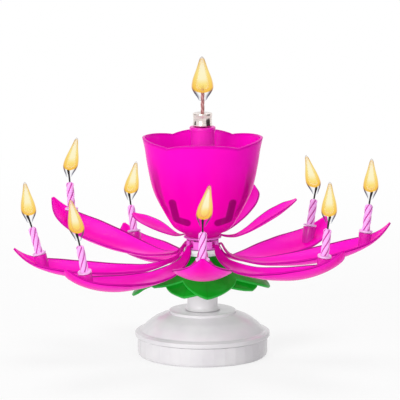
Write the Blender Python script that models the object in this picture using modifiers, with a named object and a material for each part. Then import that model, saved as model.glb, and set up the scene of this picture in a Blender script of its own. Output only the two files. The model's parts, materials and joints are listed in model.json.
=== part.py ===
"""Musical birthday candle: a lotus bud that turns on a round base and opens by itself.

Metres, +Z up, origin at the middle of the base's underside. The flower is modelled open.
"""
import math

import bmesh
import bpy
from mathutils import Matrix, Vector

# Common clearances and mesh values
GAP = 0.0003
OVERRUN = 0.0010
EMBED = 0.0003
WELD = 0.00001
BASE_STEPS = 36
ROUND_STEPS = 20
PEG_STEPS = 10

# Gear train between the motor and the stem
MODULE = 0.0008
ADDENDUM = 0.00055
DEDENDUM = 0.00085
OUTPUT_TEETH = 27
REDUCTION_LARGE_TEETH = 27
REDUCTION_SMALL_TEETH = 9
PINION_TEETH = 8
ROOT_TOOTH_SHARE = 0.29
TIP_TOOTH_SHARE = 0.11
GEAR_CLEARANCE = 0.00185
REDUCTION_DISTANCE = MODULE * (OUTPUT_TEETH + REDUCTION_SMALL_TEETH) / 2
REDUCTION_REACH = REDUCTION_DISTANCE + MODULE * REDUCTION_LARGE_TEETH / 2 + ADDENDUM

# Base: a tub below, a dome above, wide enough for the gear train
TUB_HEIGHT = 0.0090
TUB_WALL = 0.0016
FLOOR = 0.0016
BASE_CORNER = 0.0018
SPIGOT_HEIGHT = 0.0020
SPIGOT_WALL = 0.0012
SPIGOT_INNER = REDUCTION_REACH + GEAR_CLEARANCE
TUB_INNER = SPIGOT_INNER + SPIGOT_WALL + GAP
BASE_RADIUS = TUB_INNER + TUB_WALL
RIM_OVERHANG = 0.0011
RIM_RADIUS = BASE_RADIUS + RIM_OVERHANG
RIM_HEIGHT = 0.0022
DOME_RISE = 0.0090
DOME_WALL = 0.0016
COLLAR_RADIUS = 0.0158
COLLAR_HEIGHT = 0.0012
COLLAR_ROUND_SHARE = 0.33
RIM_ROUND_SHARE = 0.25
DOME_SHARES = (
    (0.91, 0.06),
    (0.83, 0.09),
    (0.78, 0.20),
    (0.66, 0.41),
    (0.52, 0.60),
    (0.36, 0.77),
    (0.05, 0.98),
)
RIM_BOTTOM = TUB_HEIGHT + GAP
RIM_TOP = RIM_BOTTOM + RIM_HEIGHT
DOME_TOP = RIM_TOP + DOME_RISE + COLLAR_HEIGHT
INSIDE_FLOOR = FLOOR + GAP

# Stem that carries the flower
STEM_RADIUS = 0.0072
STEM_BORE = 0.0046
STEM_LENGTH = 0.0292
JOURNAL_RADIUS = 0.0062
FLARE_RADIUS = 0.0082
FLARE_HEIGHT = 0.0014
FLANGE_RADIUS = 0.0088
FLANGE_HEIGHT = 0.0017
SPRING_WEB_DEPTH = 0.0118
WEB_THICKNESS = 0.0012
WEB_HOLE = 0.0020
STEM_TOP = DOME_TOP + GAP + STEM_LENGTH

# Motor, axle and post that carry the gears
MOTOR_RADIUS = 0.0050
MOTOR_HEIGHT = 0.0052
MOTOR_SHAFT_RADIUS = 0.0005
MOTOR_SHAFT_DEPTH = 0.0020
LARGE_GEAR_LIFT = 0.0009
LARGE_GEAR_HEIGHT = 0.0020
OUTPUT_GEAR_LIFT = 0.0010
OUTPUT_GEAR_HEIGHT = 0.0030
HUB_RISE = 0.0036
POST_RADIUS = 0.0022
POST_RISE = 0.0030
AXLE_RADIUS = 0.0010
AXLE_BOSS_RADIUS = 0.0022
WHEEL_HUB_LENGTH = 0.0013
PINION_ANGLE = math.radians(-50)
MOTOR_TOP = INSIDE_FLOOR + MOTOR_HEIGHT
LARGE_GEAR_BOTTOM = MOTOR_TOP + LARGE_GEAR_LIFT
LARGE_GEAR_TOP = LARGE_GEAR_BOTTOM + LARGE_GEAR_HEIGHT
OUTPUT_GEAR_BOTTOM = LARGE_GEAR_TOP + OUTPUT_GEAR_LIFT
OUTPUT_GEAR_TOP = OUTPUT_GEAR_BOTTOM + OUTPUT_GEAR_HEIGHT
AXLE_BOSS_TOP = LARGE_GEAR_BOTTOM - WHEEL_HUB_LENGTH - GAP

# Battery bay, door and screws
CELL_COUNT = 3
CELL_RADIUS = 0.0058
CELL_HEIGHT = 0.0054
STACK_HALF_LENGTH = (CELL_COUNT * CELL_HEIGHT + (CELL_COUNT - 1) * GAP) / 2
CONTACT_THICKNESS = 0.0004
CONTACT_HALF_WIDTH = 0.0040
CONTACT_HEIGHT = 0.0085
RIB_THICKNESS = 0.0010
RIB_X = STACK_HALF_LENGTH + CONTACT_THICKNESS + 2 * GAP
SCREW_RADIUS = 0.0008
SCREW_HEAD_RADIUS = 0.0016
SCREW_HEAD_HEIGHT = 0.0005
SCREW_RECESS = 0.0001
SCREW_SLOT = 0.0005
BOSS_WALL = 0.0008
DOOR_THICKNESS = 0.0009
DOOR_MARGIN = 0.0005
DOOR_EDGE = 0.0006
DOOR_BOSS_HEIGHT = 0.0040
DOOR_RIM = 0.0008
DOOR_SCREW_X = RIB_X + RIB_THICKNESS + SCREW_RADIUS + BOSS_WALL
DOOR_END_X = DOOR_SCREW_X + SCREW_HEAD_RADIUS + DOOR_EDGE
DOOR_SIDE = CELL_RADIUS + GAP + DOOR_MARGIN
DOOR_REACH = BASE_RADIUS - BASE_CORNER - DOOR_RIM
BAY_Y = math.sqrt(DOOR_REACH**2 - DOOR_END_X**2) - DOOR_SIDE
CASE_BOSS_RADIUS = SCREW_RADIUS + GAP + BOSS_WALL
CASE_BOSS_CLEARANCE = 0.0012
CASE_SCREW_RADIUS = SPIGOT_INNER - CASE_BOSS_RADIUS - CASE_BOSS_CLEARANCE
CASE_SCREW_LENGTH = 0.0100
CASE_SCREW_ANGLES = (math.radians(8), math.radians(145), math.radians(235))

# Sound and switch
PIEZO_RADIUS = 0.0080
PIEZO_HEIGHT = 0.0008
PIEZO_INSET = 0.0061
PIEZO_ANGLE = math.radians(-37)
PIEZO_X = (TUB_INNER - PIEZO_INSET - PIEZO_RADIUS) * math.cos(PIEZO_ANGLE)
PIEZO_Y = (TUB_INNER - PIEZO_INSET - PIEZO_RADIUS) * math.sin(PIEZO_ANGLE)
SOUND_HOLE_RADIUS = 0.0007
SOUND_RING_RADIUS = 0.0040
SOUND_RING_HOLES = 6
BOARD_LENGTH = 0.0140
BOARD_WIDTH = 0.0120
BOARD_WALL_CLEARANCE = 0.0091
BOARD_BAY_CLEARANCE = 0.0028
BOARD_HIGH = (TUB_INNER - BOARD_WALL_CLEARANCE, BAY_Y - CELL_RADIUS - BOARD_BAY_CLEARANCE)
BOARD_LOW = (BOARD_HIGH[0] - BOARD_LENGTH, BOARD_HIGH[1] - BOARD_WIDTH)
BOARD_RISE = 0.0030
BOARD_THICKNESS = 0.0010
BOARD_POST_RADIUS = 0.0010
BOARD_POST_INSET = 0.0014
BOARD_BOTTOM = FLOOR + BOARD_RISE
CHIP_RADIUS = 0.0025
CHIP_HEIGHT = 0.0011
CHIP_SHARES = ((0.5, 0.85), (1.0, 0.25))
SWITCH_X = 0.0040
SWITCH_INSET = 0.0054
SWITCH_LENGTH = 0.0086
SWITCH_WIDTH = 0.0044
SWITCH_Y = -(TUB_INNER - SWITCH_INSET - SWITCH_WIDTH / 2)
SWITCH_HEIGHT = 0.0034
SWITCH_WALL = 0.0006
KNOB_LENGTH = 0.0020
KNOB_WIDTH = 0.0016
KNOB_RECESS = 0.0004
SWITCH_TRAVEL = 0.0020

# Calyx of sepals round the stem; each sepal has its turn and its share of the radius
UPPER_SEPAL_SHARES = (
    (math.radians(67), 0.94),
    (math.radians(136), 0.92),
    (math.radians(218), 0.85),
    (math.radians(274), 0.93),
    (math.radians(355), 0.93),
)
LOWER_SEPAL_SHARES = (
    (math.radians(33), 0.92),
    (math.radians(103), 0.92),
    (math.radians(183), 1.00),
    (math.radians(253), 0.91),
    (math.radians(325), 0.87),
)
CALYX_RADIUS = 0.0340
CALYX_DROP = 0.0189
CALYX_THICKNESS = 0.0009
WHORL_OFFSET = CALYX_THICKNESS + 2 * GAP
SEPAL_COLUMNS = 8
SEPAL_NOTCH_SHARE = 0.66
SEPAL_POINT_POWER = 1.5
SEPAL_ROW_SHARES = (0.0, 0.22, 0.44, 0.66, 0.84, 1.0)
CALYX_SHARES = (
    (0.22, 0.0),
    (0.28, 0.07),
    (0.37, 0.25),
    (0.51, 0.38),
    (0.62, 0.46),
    (0.77, 0.57),
    (0.88, 0.69),
    (0.94, 0.83),
    (1.0, 1.0),
)
CALYX_TOP = STEM_TOP - FLANGE_HEIGHT - 2 * GAP

# Petal ring, its cap and the push plate
RING_RADIUS = 0.0077
RING_HEIGHT = 0.0037
RING_STEPS = 32
RING_BOTTOM = STEM_TOP + GAP
RING_TOP = RING_BOTTOM + RING_HEIGHT
HINGE_RADIUS = 0.0062
HINGE_RISE = 0.0015
HINGE_HEIGHT = RING_BOTTOM + HINGE_RISE
PIN_RADIUS = 0.0007
PIN_HALF_LENGTH = 0.0014
PIN_CLEARANCE = 0.00025
ARM_HALF_WIDTH = 0.0010
TAIL_LENGTH = 0.0020
TAIL_RADIUS = 0.00045
TAIL_ANGLE = math.radians(38.5)
CAP_RADIUS = 0.0089
CAP_RISE = 0.0012
CAP_THICKNESS = 0.0004
CAP_SKIRT_WALL = 0.0006
CAP_BOTTOM = RING_TOP + CAP_RISE
CAP_TOP = CAP_BOTTOM + CAP_THICKNESS
PLATE_THICKNESS = 0.0010
PLATE_TOP = HINGE_HEIGHT + GAP
SPRING_WIRE = 0.0004
SPRING_RADIUS = 0.0038
SPRING_CURLS = 6
SPRING_POINTS = 9

# Long petals, each with a candle holder
PETAL_THICKNESS = 0.0008
BLADE_REACH = 0.0798
BLADE_HALF_WIDTH = 0.0138
TROUGH_DEPTH = 0.0044
ELBOW_STANDOFF = 0.0013
PETAL_ROWS = 14
PETAL_COLUMNS = 4
SLOPE_STEP_SHARE = 0.01
BLADE_SHARES = (
    (0.017, -0.037, 0.16),
    (0.046, -0.073, 0.20),
    (0.105, -0.102, 0.32),
    (0.223, -0.137, 0.54),
    (0.340, -0.150, 0.74),
    (0.458, -0.155, 0.90),
    (0.570, -0.149, 0.99),
    (0.664, -0.137, 1.00),
    (0.770, -0.109, 0.93),
    (0.870, -0.066, 0.71),
    (0.940, -0.016, 0.43),
    (1.000, 0.051, 0.05),
)
HOLDER_SHARE = 0.835
HOLDER_SEARCH_STEPS = 400
HOLDER_LEAN = math.radians(11)
HOLDER_RADIUS = 0.0032
HOLDER_HEIGHT = 0.0070
HOLDER_DEPTH = 0.0044
HOLDER_SINK = 0.00015
PETAL_PLACES = (
    (math.radians(180), math.radians(-4.3)),
    (math.radians(146), math.radians(7.0)),
    (math.radians(226), math.radians(-2.8)),
    (math.radians(116), math.radians(-5.7)),
    (math.radians(270), math.radians(4.2)),
    (math.radians(47), math.radians(-1.6)),
    (math.radians(316), math.radians(2.8)),
    (math.radians(0), math.radians(4.3)),
)
PETAL_BEND_SHARES = (1.0, 1.0, 1.0, 1.0, 0.85, 1.0, 1.0, 1.0)

# Candles in the holders
CANDLE_RADIUS = 0.0019
CANDLE_HEIGHT = 0.0136
CANDLE_SIDES = 8
CANDLE_TURNS = 0.85
CANDLE_RINGS = 5
CANDLE_DISC_RADIUS = 0.0032
CANDLE_DISC_HEIGHT = 0.0009
CANDLE_GROOVE_SHARE = 0.14
WICK_RADIUS = 0.0004
WICK_HEIGHT = 0.0047

# Bud-shaped cup and the short inner petals
CUP_RADIUS = 0.0283
CUP_HEIGHT = 0.0469
CUP_WALL = 0.0011
CUP_FOOT_RADIUS = 0.0076
CUP_FLOOR_HOLE = 0.0030
CUP_STEPS = 36
CUP_LOBES = 6
CUP_SCALLOP = 0.0022
CUP_SCALLOP_START_SHARE = 0.6
CUP_LOBE_ROUNDNESS = 0.7
CUP_LOBE_TURN = math.radians(40)
CUP_BOTTOM = CAP_TOP + GAP
CUP_SHARES = (
    (0.320, 0.028),
    (0.445, 0.070),
    (0.525, 0.120),
    (0.660, 0.260),
    (0.790, 0.412),
    (0.862, 0.550),
    (0.924, 0.740),
    (0.958, 0.880),
    (1.000, 1.000),
)
INNER_THICKNESS = 0.0006
INNER_REACH = 0.0394
INNER_HALF_WIDTH = 0.0096
INNER_TROUGH = 0.0022
INNER_ROWS = 10
INNER_COLUMNS = 4
INNER_BARREL_RADIUS = 0.00035
INNER_BARREL_HALF = 0.0018
INNER_ROOT_HALF = 0.0012
INNER_PIVOT_INSET = 0.0003
INNER_PIVOT_RISE = 0.0006
INNER_SHARES = (
    (0.000, 0.000, 0.13),
    (0.047, -0.038, 0.18),
    (0.110, -0.073, 0.26),
    (0.178, -0.094, 0.36),
    (0.315, -0.105, 0.62),
    (0.467, -0.100, 0.88),
    (0.620, -0.086, 1.00),
    (0.742, -0.070, 0.92),
    (0.870, -0.040, 0.64),
    (1.000, 0.000, 0.06),
)
INNER_PLACES = (
    (math.radians(3), math.radians(25.1), 1.0),
    (math.radians(57), math.radians(27.2), 1.0),
    (math.radians(108), math.radians(27.2), 1.0),
    (math.radians(154), math.radians(17.7), 0.74),
)

# Column with the fountain, ferrule and fuse
COLUMN_RADIUS = 0.0056
COLUMN_BORE = 0.0049
COLUMN_RISE = 0.0519
COLUMN_COLLAR_RADIUS = 0.0061
COLUMN_COLLAR_HEIGHT = 0.0018
COLUMN_FOOT_HEIGHT = 0.0012
COLUMN_FLOOR = 0.0012
COLUMN_PEG_RADIUS = 0.0026
COLUMN_TOP = CUP_BOTTOM + COLUMN_RISE
FERRULE_RADIUS = 0.0046
FERRULE_HEIGHT = 0.0062
FERRULE_WALL = 0.0005
FERRULE_BEAD = 0.0003
FERRULE_GROOVES = 2
FERRULE_STEPS = 16
FUSE_RADIUS = 0.0009
FUSE_RISE = 0.0130

COLLECTION_NAME = "musical_birthday_candle"

FINISHES = {
    "white_plastic": ((0.84, 0.81, 0.82), 0.32, 0.0),
    "magenta_plastic": ((0.98, 0.02, 0.52), 0.18, 0.0),
    "pink_plastic": ((0.96, 0.18, 0.78), 0.22, 0.0),
    "green_plastic": ((0.01, 0.36, 0.04), 0.20, 0.0),
    "candle_wax": ((0.97, 0.53, 0.86), 0.38, 0.0),
    "chrome": ((0.80, 0.79, 0.78), 0.16, 1.0),
    "fuse_cord": ((0.54, 0.22, 0.20), 0.80, 0.0),
    "paper": ((0.72, 0.66, 0.58), 0.85, 0.0),
    "nylon": ((0.86, 0.85, 0.78), 0.40, 0.0),
    "steel": ((0.60, 0.61, 0.62), 0.28, 1.0),
    "brass": ((0.78, 0.57, 0.22), 0.30, 1.0),
    "board": ((0.02, 0.22, 0.09), 0.45, 0.0),
    "black_epoxy": ((0.02, 0.02, 0.02), 0.30, 0.0),
}


def clear_scene():
    """Remove every object of the open file."""
    for obj in list(bpy.data.objects):
        bpy.data.objects.remove(obj, do_unlink=True)


def place(name, mesh):
    """Put a mesh in the part's collection as a named object."""
    obj = bpy.data.objects.new(name, mesh)
    bpy.data.collections[COLLECTION_NAME].objects.link(obj)
    return obj


def settle(obj):
    """Apply the modifiers, weld doubles and turn every face outwards."""
    bpy.context.view_layer.update()
    depsgraph = bpy.context.evaluated_depsgraph_get()
    obj.data = bpy.data.meshes.new_from_object(obj.evaluated_get(depsgraph))
    obj.modifiers.clear()
    shape = bmesh.new()
    shape.from_mesh(obj.data)
    bmesh.ops.remove_doubles(shape, verts=shape.verts, dist=WELD)
    bmesh.ops.recalc_face_normals(shape, faces=shape.faces)
    shape.to_mesh(obj.data)
    shape.free()
    return obj


def finish(obj, slot):
    """Give a solid its material and smooth its round faces."""
    material = bpy.data.materials.get(slot)
    if material is None:
        material = bpy.data.materials.new(slot)
        material.use_nodes = True
        colour, roughness, metallic = FINISHES[slot]
        shader = material.node_tree.nodes["Principled BSDF"]
        shader.inputs["Base Color"].default_value = (*colour, 1.0)
        shader.inputs["Roughness"].default_value = roughness
        shader.inputs["Metallic"].default_value = metallic
        material.diffuse_color = (*colour, 1.0)
    obj.data.materials.clear()
    obj.data.materials.append(material)
    obj.data.shade_smooth()
    obj.data.set_sharp_from_angle(angle=math.radians(35))
    return obj


def combine(body, tool, operation):
    """Join a tool to a body, or cut it out, and remove the tool."""
    modifier = body.modifiers.new(operation.lower(), "BOOLEAN")
    modifier.operation = operation
    modifier.solver = "EXACT"
    modifier.object = tool
    settle(body)
    bpy.data.objects.remove(tool, do_unlink=True)
    return body


def join(body, *tools):
    """Join solids to a body."""
    for tool in tools:
        combine(body, tool, "UNION")
    return body


def cut(body, *tools):
    """Cut solids out of a body."""
    for tool in tools:
        combine(body, tool, "DIFFERENCE")
    return body


def rod(name, radius, start, end, steps=PEG_STEPS, end_radius=None):
    """Make a closed cylinder or cone between two points."""
    start = Vector(start)
    end = Vector(end)
    shape = bmesh.new()
    bmesh.ops.create_cone(
        shape,
        cap_ends=True,
        segments=steps,
        radius1=radius,
        radius2=radius if end_radius is None else end_radius,
        depth=(end - start).length,
    )
    turn = (end - start).to_track_quat("Z", "Y").to_matrix().to_4x4()
    bmesh.ops.transform(shape, matrix=Matrix.Translation((start + end) / 2) @ turn, verts=shape.verts)
    mesh = bpy.data.meshes.new(name)
    shape.to_mesh(mesh)
    shape.free()
    return place(name, mesh)


def block(name, low, high):
    """Make a box between two corners."""
    low = Vector(low)
    high = Vector(high)
    shape = bmesh.new()
    bmesh.ops.create_cube(shape, size=1)
    scale = Matrix.Diagonal((*(high - low), 1))
    bmesh.ops.transform(shape, matrix=Matrix.Translation((low + high) / 2) @ scale, verts=shape.verts)
    mesh = bpy.data.meshes.new(name)
    shape.to_mesh(mesh)
    shape.free()
    return place(name, mesh)


def turned(name, profile, steps, closed=True):
    """Turn a profile of (radius, height) points about +Z."""
    mesh = bpy.data.meshes.new(name)
    points = [(radius, 0, height) for radius, height in profile]
    edges = [(index, index + 1) for index in range(len(points) - 1)]
    if closed:
        edges.append((len(points) - 1, 0))
    mesh.from_pydata(points, edges, [])
    obj = place(name, mesh)
    screw = obj.modifiers.new("turn", "SCREW")
    screw.axis = "Z"
    screw.angle = math.tau
    screw.steps = steps
    screw.render_steps = steps
    screw.use_merge_vertices = True
    screw.merge_threshold = WELD
    return settle(obj)


def plate(name, outline, bottom, top, holes=()):
    """Extrude a flat outline with holes, from one height to another."""
    curve = bpy.data.curves.new(name, "CURVE")
    curve.dimensions = "2D"
    curve.fill_mode = "BOTH"
    curve.extrude = (top - bottom) / 2
    for loop in (outline, *holes):
        spline = curve.splines.new("POLY")
        spline.points.add(len(loop) - 1)
        for point, (x, y) in zip(spline.points, loop):
            point.co = (x, y, 0, 1)
        spline.use_cyclic_u = True
    source = place(name + "_outline", curve)
    bpy.context.view_layer.update()
    depsgraph = bpy.context.evaluated_depsgraph_get()
    mesh = bpy.data.meshes.new_from_object(source.evaluated_get(depsgraph))
    mesh.transform(Matrix.Translation((0, 0, (bottom + top) / 2)))
    bpy.data.objects.remove(source, do_unlink=True)
    return settle(place(name, mesh))


def circle_points(radius, steps, x=0.0, y=0.0):
    """Points of a circle in the plane."""
    angles = [math.tau * step / steps for step in range(steps)]
    return [(x + radius * math.cos(angle), y + radius * math.sin(angle)) for angle in angles]


def along_curve(points, share):
    """Read a smooth curve through some points at a share of its way."""
    position = share * (len(points) - 1)
    index = min(int(position), len(points) - 2)
    step = position - index
    before = points[max(index - 1, 0)]
    start = points[index]
    end = points[index + 1]
    after = points[min(index + 2, len(points) - 1)]
    values = []
    for p0, p1, p2, p3 in zip(before, start, end, after):
        slope = (p2 - p0) / 2
        next_slope = (p3 - p1) / 2
        bend = 3 * (p2 - p1) - 2 * slope - next_slope
        curl = 2 * (p1 - p2) + slope + next_slope
        values.append(p1 + slope * step + bend * step**2 + curl * step**3)
    return values


def blade(name, stations, last_share, rows, columns, widest, trough, thickness):
    """Make a petal blade from stations of (reach, height, half width)."""
    shape = bmesh.new()
    bmesh.ops.create_grid(shape, x_segments=rows, y_segments=columns, size=1)
    for vert in shape.verts:
        share = (vert.co.x + 1) / 2 * last_share
        side = vert.co.y
        reach, height, half_width = along_curve(stations, share)
        before = along_curve(stations, max(share - SLOPE_STEP_SHARE, 0))
        after = along_curve(stations, min(share + SLOPE_STEP_SHARE, 1))
        forward = Vector((after[0] - before[0], 0, after[1] - before[1])).normalized()
        upward = Vector((-forward.z, 0, forward.x))
        rise = trough * (half_width / widest) ** 2 * side**2
        vert.co = Vector((reach, half_width * side, height)) + upward * rise
    mesh = bpy.data.meshes.new(name)
    shape.to_mesh(mesh)
    shape.free()
    obj = place(name, mesh)
    wall = obj.modifiers.new("wall", "SOLIDIFY")
    wall.thickness = thickness
    wall.offset = 0
    return settle(obj)


def polar(radius, angle, height):
    """Point at a radius, an angle and a height."""
    return Vector((radius * math.cos(angle), radius * math.sin(angle), height))


def gear_outline(teeth, turn=0.0):
    """Outline of a spur gear of the common module, one tooth at the angle turn."""
    pitch_radius = MODULE * teeth / 2
    root = pitch_radius - DEDENDUM
    tip = pitch_radius + ADDENDUM
    tooth_angle = math.tau / teeth
    tooth = (
        (root, -ROOT_TOOTH_SHARE),
        (tip, -TIP_TOOTH_SHARE),
        (tip, TIP_TOOTH_SHARE),
        (root, ROOT_TOOTH_SHARE),
    )
    points = []
    for number in range(teeth):
        for radius, share in tooth:
            angle = turn + (number + share) * tooth_angle
            points.append((radius * math.cos(angle), radius * math.sin(angle)))
    return points


def shifted(points, x, y):
    """Move the points of an outline."""
    return [(px + x, py + y) for px, py in points]


def reduction_centre():
    """Place of the reduction gear's axle."""
    return -REDUCTION_DISTANCE, 0.0


def motor_centre():
    """Place of the motor's shaft."""
    x, y = reduction_centre()
    distance = MODULE * (REDUCTION_LARGE_TEETH + PINION_TEETH) / 2
    return x + distance * math.cos(PINION_ANGLE), y + distance * math.sin(PINION_ANGLE)


def board_posts():
    """Places of the posts under the circuit board."""
    left = BOARD_LOW[0] + BOARD_POST_INSET
    right = BOARD_HIGH[0] - BOARD_POST_INSET
    top = BOARD_HIGH[1] - BOARD_POST_INSET
    low = BOARD_LOW[1] + BOARD_POST_INSET
    return ((left, top), (right, top), (right, low))


def base_tub():
    """Lower half of the base with its bosses, posts and openings."""
    post_top = OUTPUT_GEAR_TOP + POST_RISE
    corner = []
    for step in range(4):
        angle = math.pi / 2 * step / 3
        radius = BASE_RADIUS - BASE_CORNER * (1 - math.sin(angle))
        corner.append((radius, BASE_CORNER * (1 - math.cos(angle))))
    profile = [(0, post_top), (POST_RADIUS, post_top), (POST_RADIUS, FLOOR), (TUB_INNER, FLOOR)]
    profile += [(TUB_INNER, TUB_HEIGHT), (BASE_RADIUS, TUB_HEIGHT)]
    profile += list(reversed(corner)) + [(0, 0)]
    tub = turned("base_tub", profile, BASE_STEPS, closed=False)

    base_z = FLOOR - EMBED
    axle_x, axle_y = reduction_centre()
    join(tub, rod("axle_boss", AXLE_BOSS_RADIUS, (axle_x, axle_y, base_z), (axle_x, axle_y, AXLE_BOSS_TOP)))
    hole_top = AXLE_BOSS_TOP + OVERRUN
    cut(tub, rod("axle_hole", AXLE_RADIUS + GAP, (axle_x, axle_y, FLOOR), (axle_x, axle_y, hole_top)))
    for x, y in board_posts():
        join(tub, rod("board_post", BOARD_POST_RADIUS, (x, y, base_z), (x, y, BOARD_BOTTOM - GAP), steps=8))

    for low_x, high_x in ((-RIB_X - RIB_THICKNESS, -RIB_X), (RIB_X, RIB_X + RIB_THICKNESS)):
        low = (low_x, BAY_Y - CONTACT_HALF_WIDTH, base_z)
        join(tub, block("contact_rib", low, (high_x, BAY_Y + CONTACT_HALF_WIDTH, FLOOR + CONTACT_HEIGHT)))
    boss_radius = SCREW_RADIUS + BOSS_WALL
    boss_top = FLOOR + DOOR_BOSS_HEIGHT
    join(tub, rod("door_boss", boss_radius, (DOOR_SCREW_X, BAY_Y, base_z), (DOOR_SCREW_X, BAY_Y, boss_top)))

    cell_reach = CELL_RADIUS + GAP
    stack = STACK_HALF_LENGTH + GAP / 2
    door_low, door_high = door_corners()
    low = (door_low[0] - GAP, door_low[1] - GAP, -OVERRUN)
    high = (door_high[0] + GAP, door_high[1] + GAP, DOOR_THICKNESS + GAP)
    cut(tub, block("door_recess", low, high))
    low = (-stack, BAY_Y - cell_reach, 0)
    cut(tub, block("battery_opening", low, (stack, BAY_Y + cell_reach, FLOOR + OVERRUN)))
    screw_top = FLOOR + DOOR_BOSS_HEIGHT - BOSS_WALL
    screw_hole = SCREW_RADIUS + GAP
    cut(tub, rod("door_screw_hole", screw_hole, (DOOR_SCREW_X, BAY_Y, 0), (DOOR_SCREW_X, BAY_Y, screw_top)))
    for angle in CASE_SCREW_ANGLES:
        low = polar(CASE_SCREW_RADIUS, angle, -OVERRUN)
        head_top = SCREW_RECESS + SCREW_HEAD_HEIGHT + GAP
        cut(tub, rod("screw_seat", SCREW_HEAD_RADIUS + GAP, low, polar(CASE_SCREW_RADIUS, angle, head_top)))
        high = polar(CASE_SCREW_RADIUS, angle, FLOOR + OVERRUN)
        cut(tub, rod("screw_hole", SCREW_RADIUS + GAP, low, high))
    sound_places = [(PIEZO_X, PIEZO_Y)] + circle_points(SOUND_RING_RADIUS, SOUND_RING_HOLES, PIEZO_X, PIEZO_Y)
    for x, y in sound_places:
        cut(tub, rod("sound_hole", SOUND_HOLE_RADIUS, (x, y, -OVERRUN), (x, y, FLOOR + OVERRUN), steps=6))
    half_knob = KNOB_WIDTH / 2 + GAP
    low = (SWITCH_X - SWITCH_TRAVEL / 2 - KNOB_LENGTH / 2 - GAP, SWITCH_Y - half_knob, -OVERRUN)
    high = (SWITCH_X + SWITCH_TRAVEL / 2 + KNOB_LENGTH / 2 + GAP, SWITCH_Y + half_knob, FLOOR + OVERRUN)
    cut(tub, block("switch_slot", low, high))
    return finish(tub, "white_plastic")


def door_corners():
    """Lowest and highest corners of the battery door."""
    low = (-STACK_HALF_LENGTH - GAP - DOOR_MARGIN, BAY_Y - DOOR_SIDE, 0)
    high = (DOOR_END_X, BAY_Y + DOOR_SIDE, DOOR_THICKNESS)
    return low, high


def dome_height(radius):
    """Height of the dome's outer face at a radius."""
    span = RIM_RADIUS - COLLAR_RADIUS
    points = [(COLLAR_RADIUS + span * across, RIM_TOP + DOME_RISE * up) for across, up in DOME_SHARES]
    for (outer_radius, low), (inner_radius, high) in zip(points, points[1:]):
        if radius >= inner_radius:
            return low + (high - low) * (outer_radius - radius) / (outer_radius - inner_radius)
    return points[-1][1]


def base_dome():
    """Upper half of the base: rim flange, dome, collar and screw bosses."""
    shoulder = RIM_TOP + DOME_RISE
    spigot = TUB_INNER - GAP
    spigot_bottom = TUB_HEIGHT - SPIGOT_HEIGHT
    bore = JOURNAL_RADIUS + GAP
    round_off = RIM_HEIGHT * RIM_ROUND_SHARE
    collar_round = COLLAR_HEIGHT * COLLAR_ROUND_SHARE
    outer = []
    inner = []
    for radius_share, height_share in DOME_SHARES:
        radius = COLLAR_RADIUS + (RIM_RADIUS - COLLAR_RADIUS) * radius_share
        outer.append((radius, RIM_TOP + DOME_RISE * height_share))
    for radius, height in outer[2:]:
        inner.append((radius - DOME_WALL / 2, height - DOME_WALL))
    profile = [(bore, DOME_TOP), (COLLAR_RADIUS - collar_round, DOME_TOP)]
    profile += [(COLLAR_RADIUS, DOME_TOP - collar_round), (COLLAR_RADIUS, shoulder)]
    profile += list(reversed(outer))
    profile += [(RIM_RADIUS - round_off, RIM_TOP), (RIM_RADIUS, RIM_TOP - round_off)]
    profile.append((RIM_RADIUS, RIM_BOTTOM))
    profile += [(spigot, RIM_BOTTOM), (spigot, spigot_bottom)]
    profile += [(SPIGOT_INNER, spigot_bottom), (SPIGOT_INNER, RIM_TOP - round_off)]
    profile += inner
    profile += [(COLLAR_RADIUS - DOME_WALL, shoulder - DOME_WALL), (bore, shoulder - DOME_WALL)]
    dome = turned("base_dome", profile, BASE_STEPS)
    boss_top = dome_height(CASE_SCREW_RADIUS + CASE_BOSS_RADIUS) - DOME_WALL / 2
    for angle in CASE_SCREW_ANGLES:
        low = polar(CASE_SCREW_RADIUS, angle, INSIDE_FLOOR)
        join(dome, rod("case_boss", CASE_BOSS_RADIUS, low, polar(CASE_SCREW_RADIUS, angle, boss_top)))
        high = polar(CASE_SCREW_RADIUS, angle, FLOOR + CASE_SCREW_LENGTH)
        cut(dome, rod("case_bore", SCREW_RADIUS + GAP, low - Vector((0, 0, OVERRUN)), high))
    return finish(dome, "white_plastic")


def screw(name, place_xy, length):
    """Slotted round-head screw that stands with its head down."""
    x, y = place_xy
    head_top = SCREW_RECESS + SCREW_HEAD_HEIGHT
    body = rod(name, SCREW_HEAD_RADIUS, (x, y, SCREW_RECESS), (x, y, head_top), steps=12)
    shank_low = head_top - SCREW_HEAD_HEIGHT / 2
    join(body, rod("shank", SCREW_RADIUS, (x, y, shank_low), (x, y, head_top + length)))
    half = SCREW_SLOT / 2
    low = (x - SCREW_HEAD_RADIUS - OVERRUN, y - half, SCREW_RECESS - OVERRUN)
    high = (x + SCREW_HEAD_RADIUS + OVERRUN, y + half, SCREW_RECESS + half)
    cut(body, block("slot", low, high))
    return finish(body, "steel")


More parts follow.
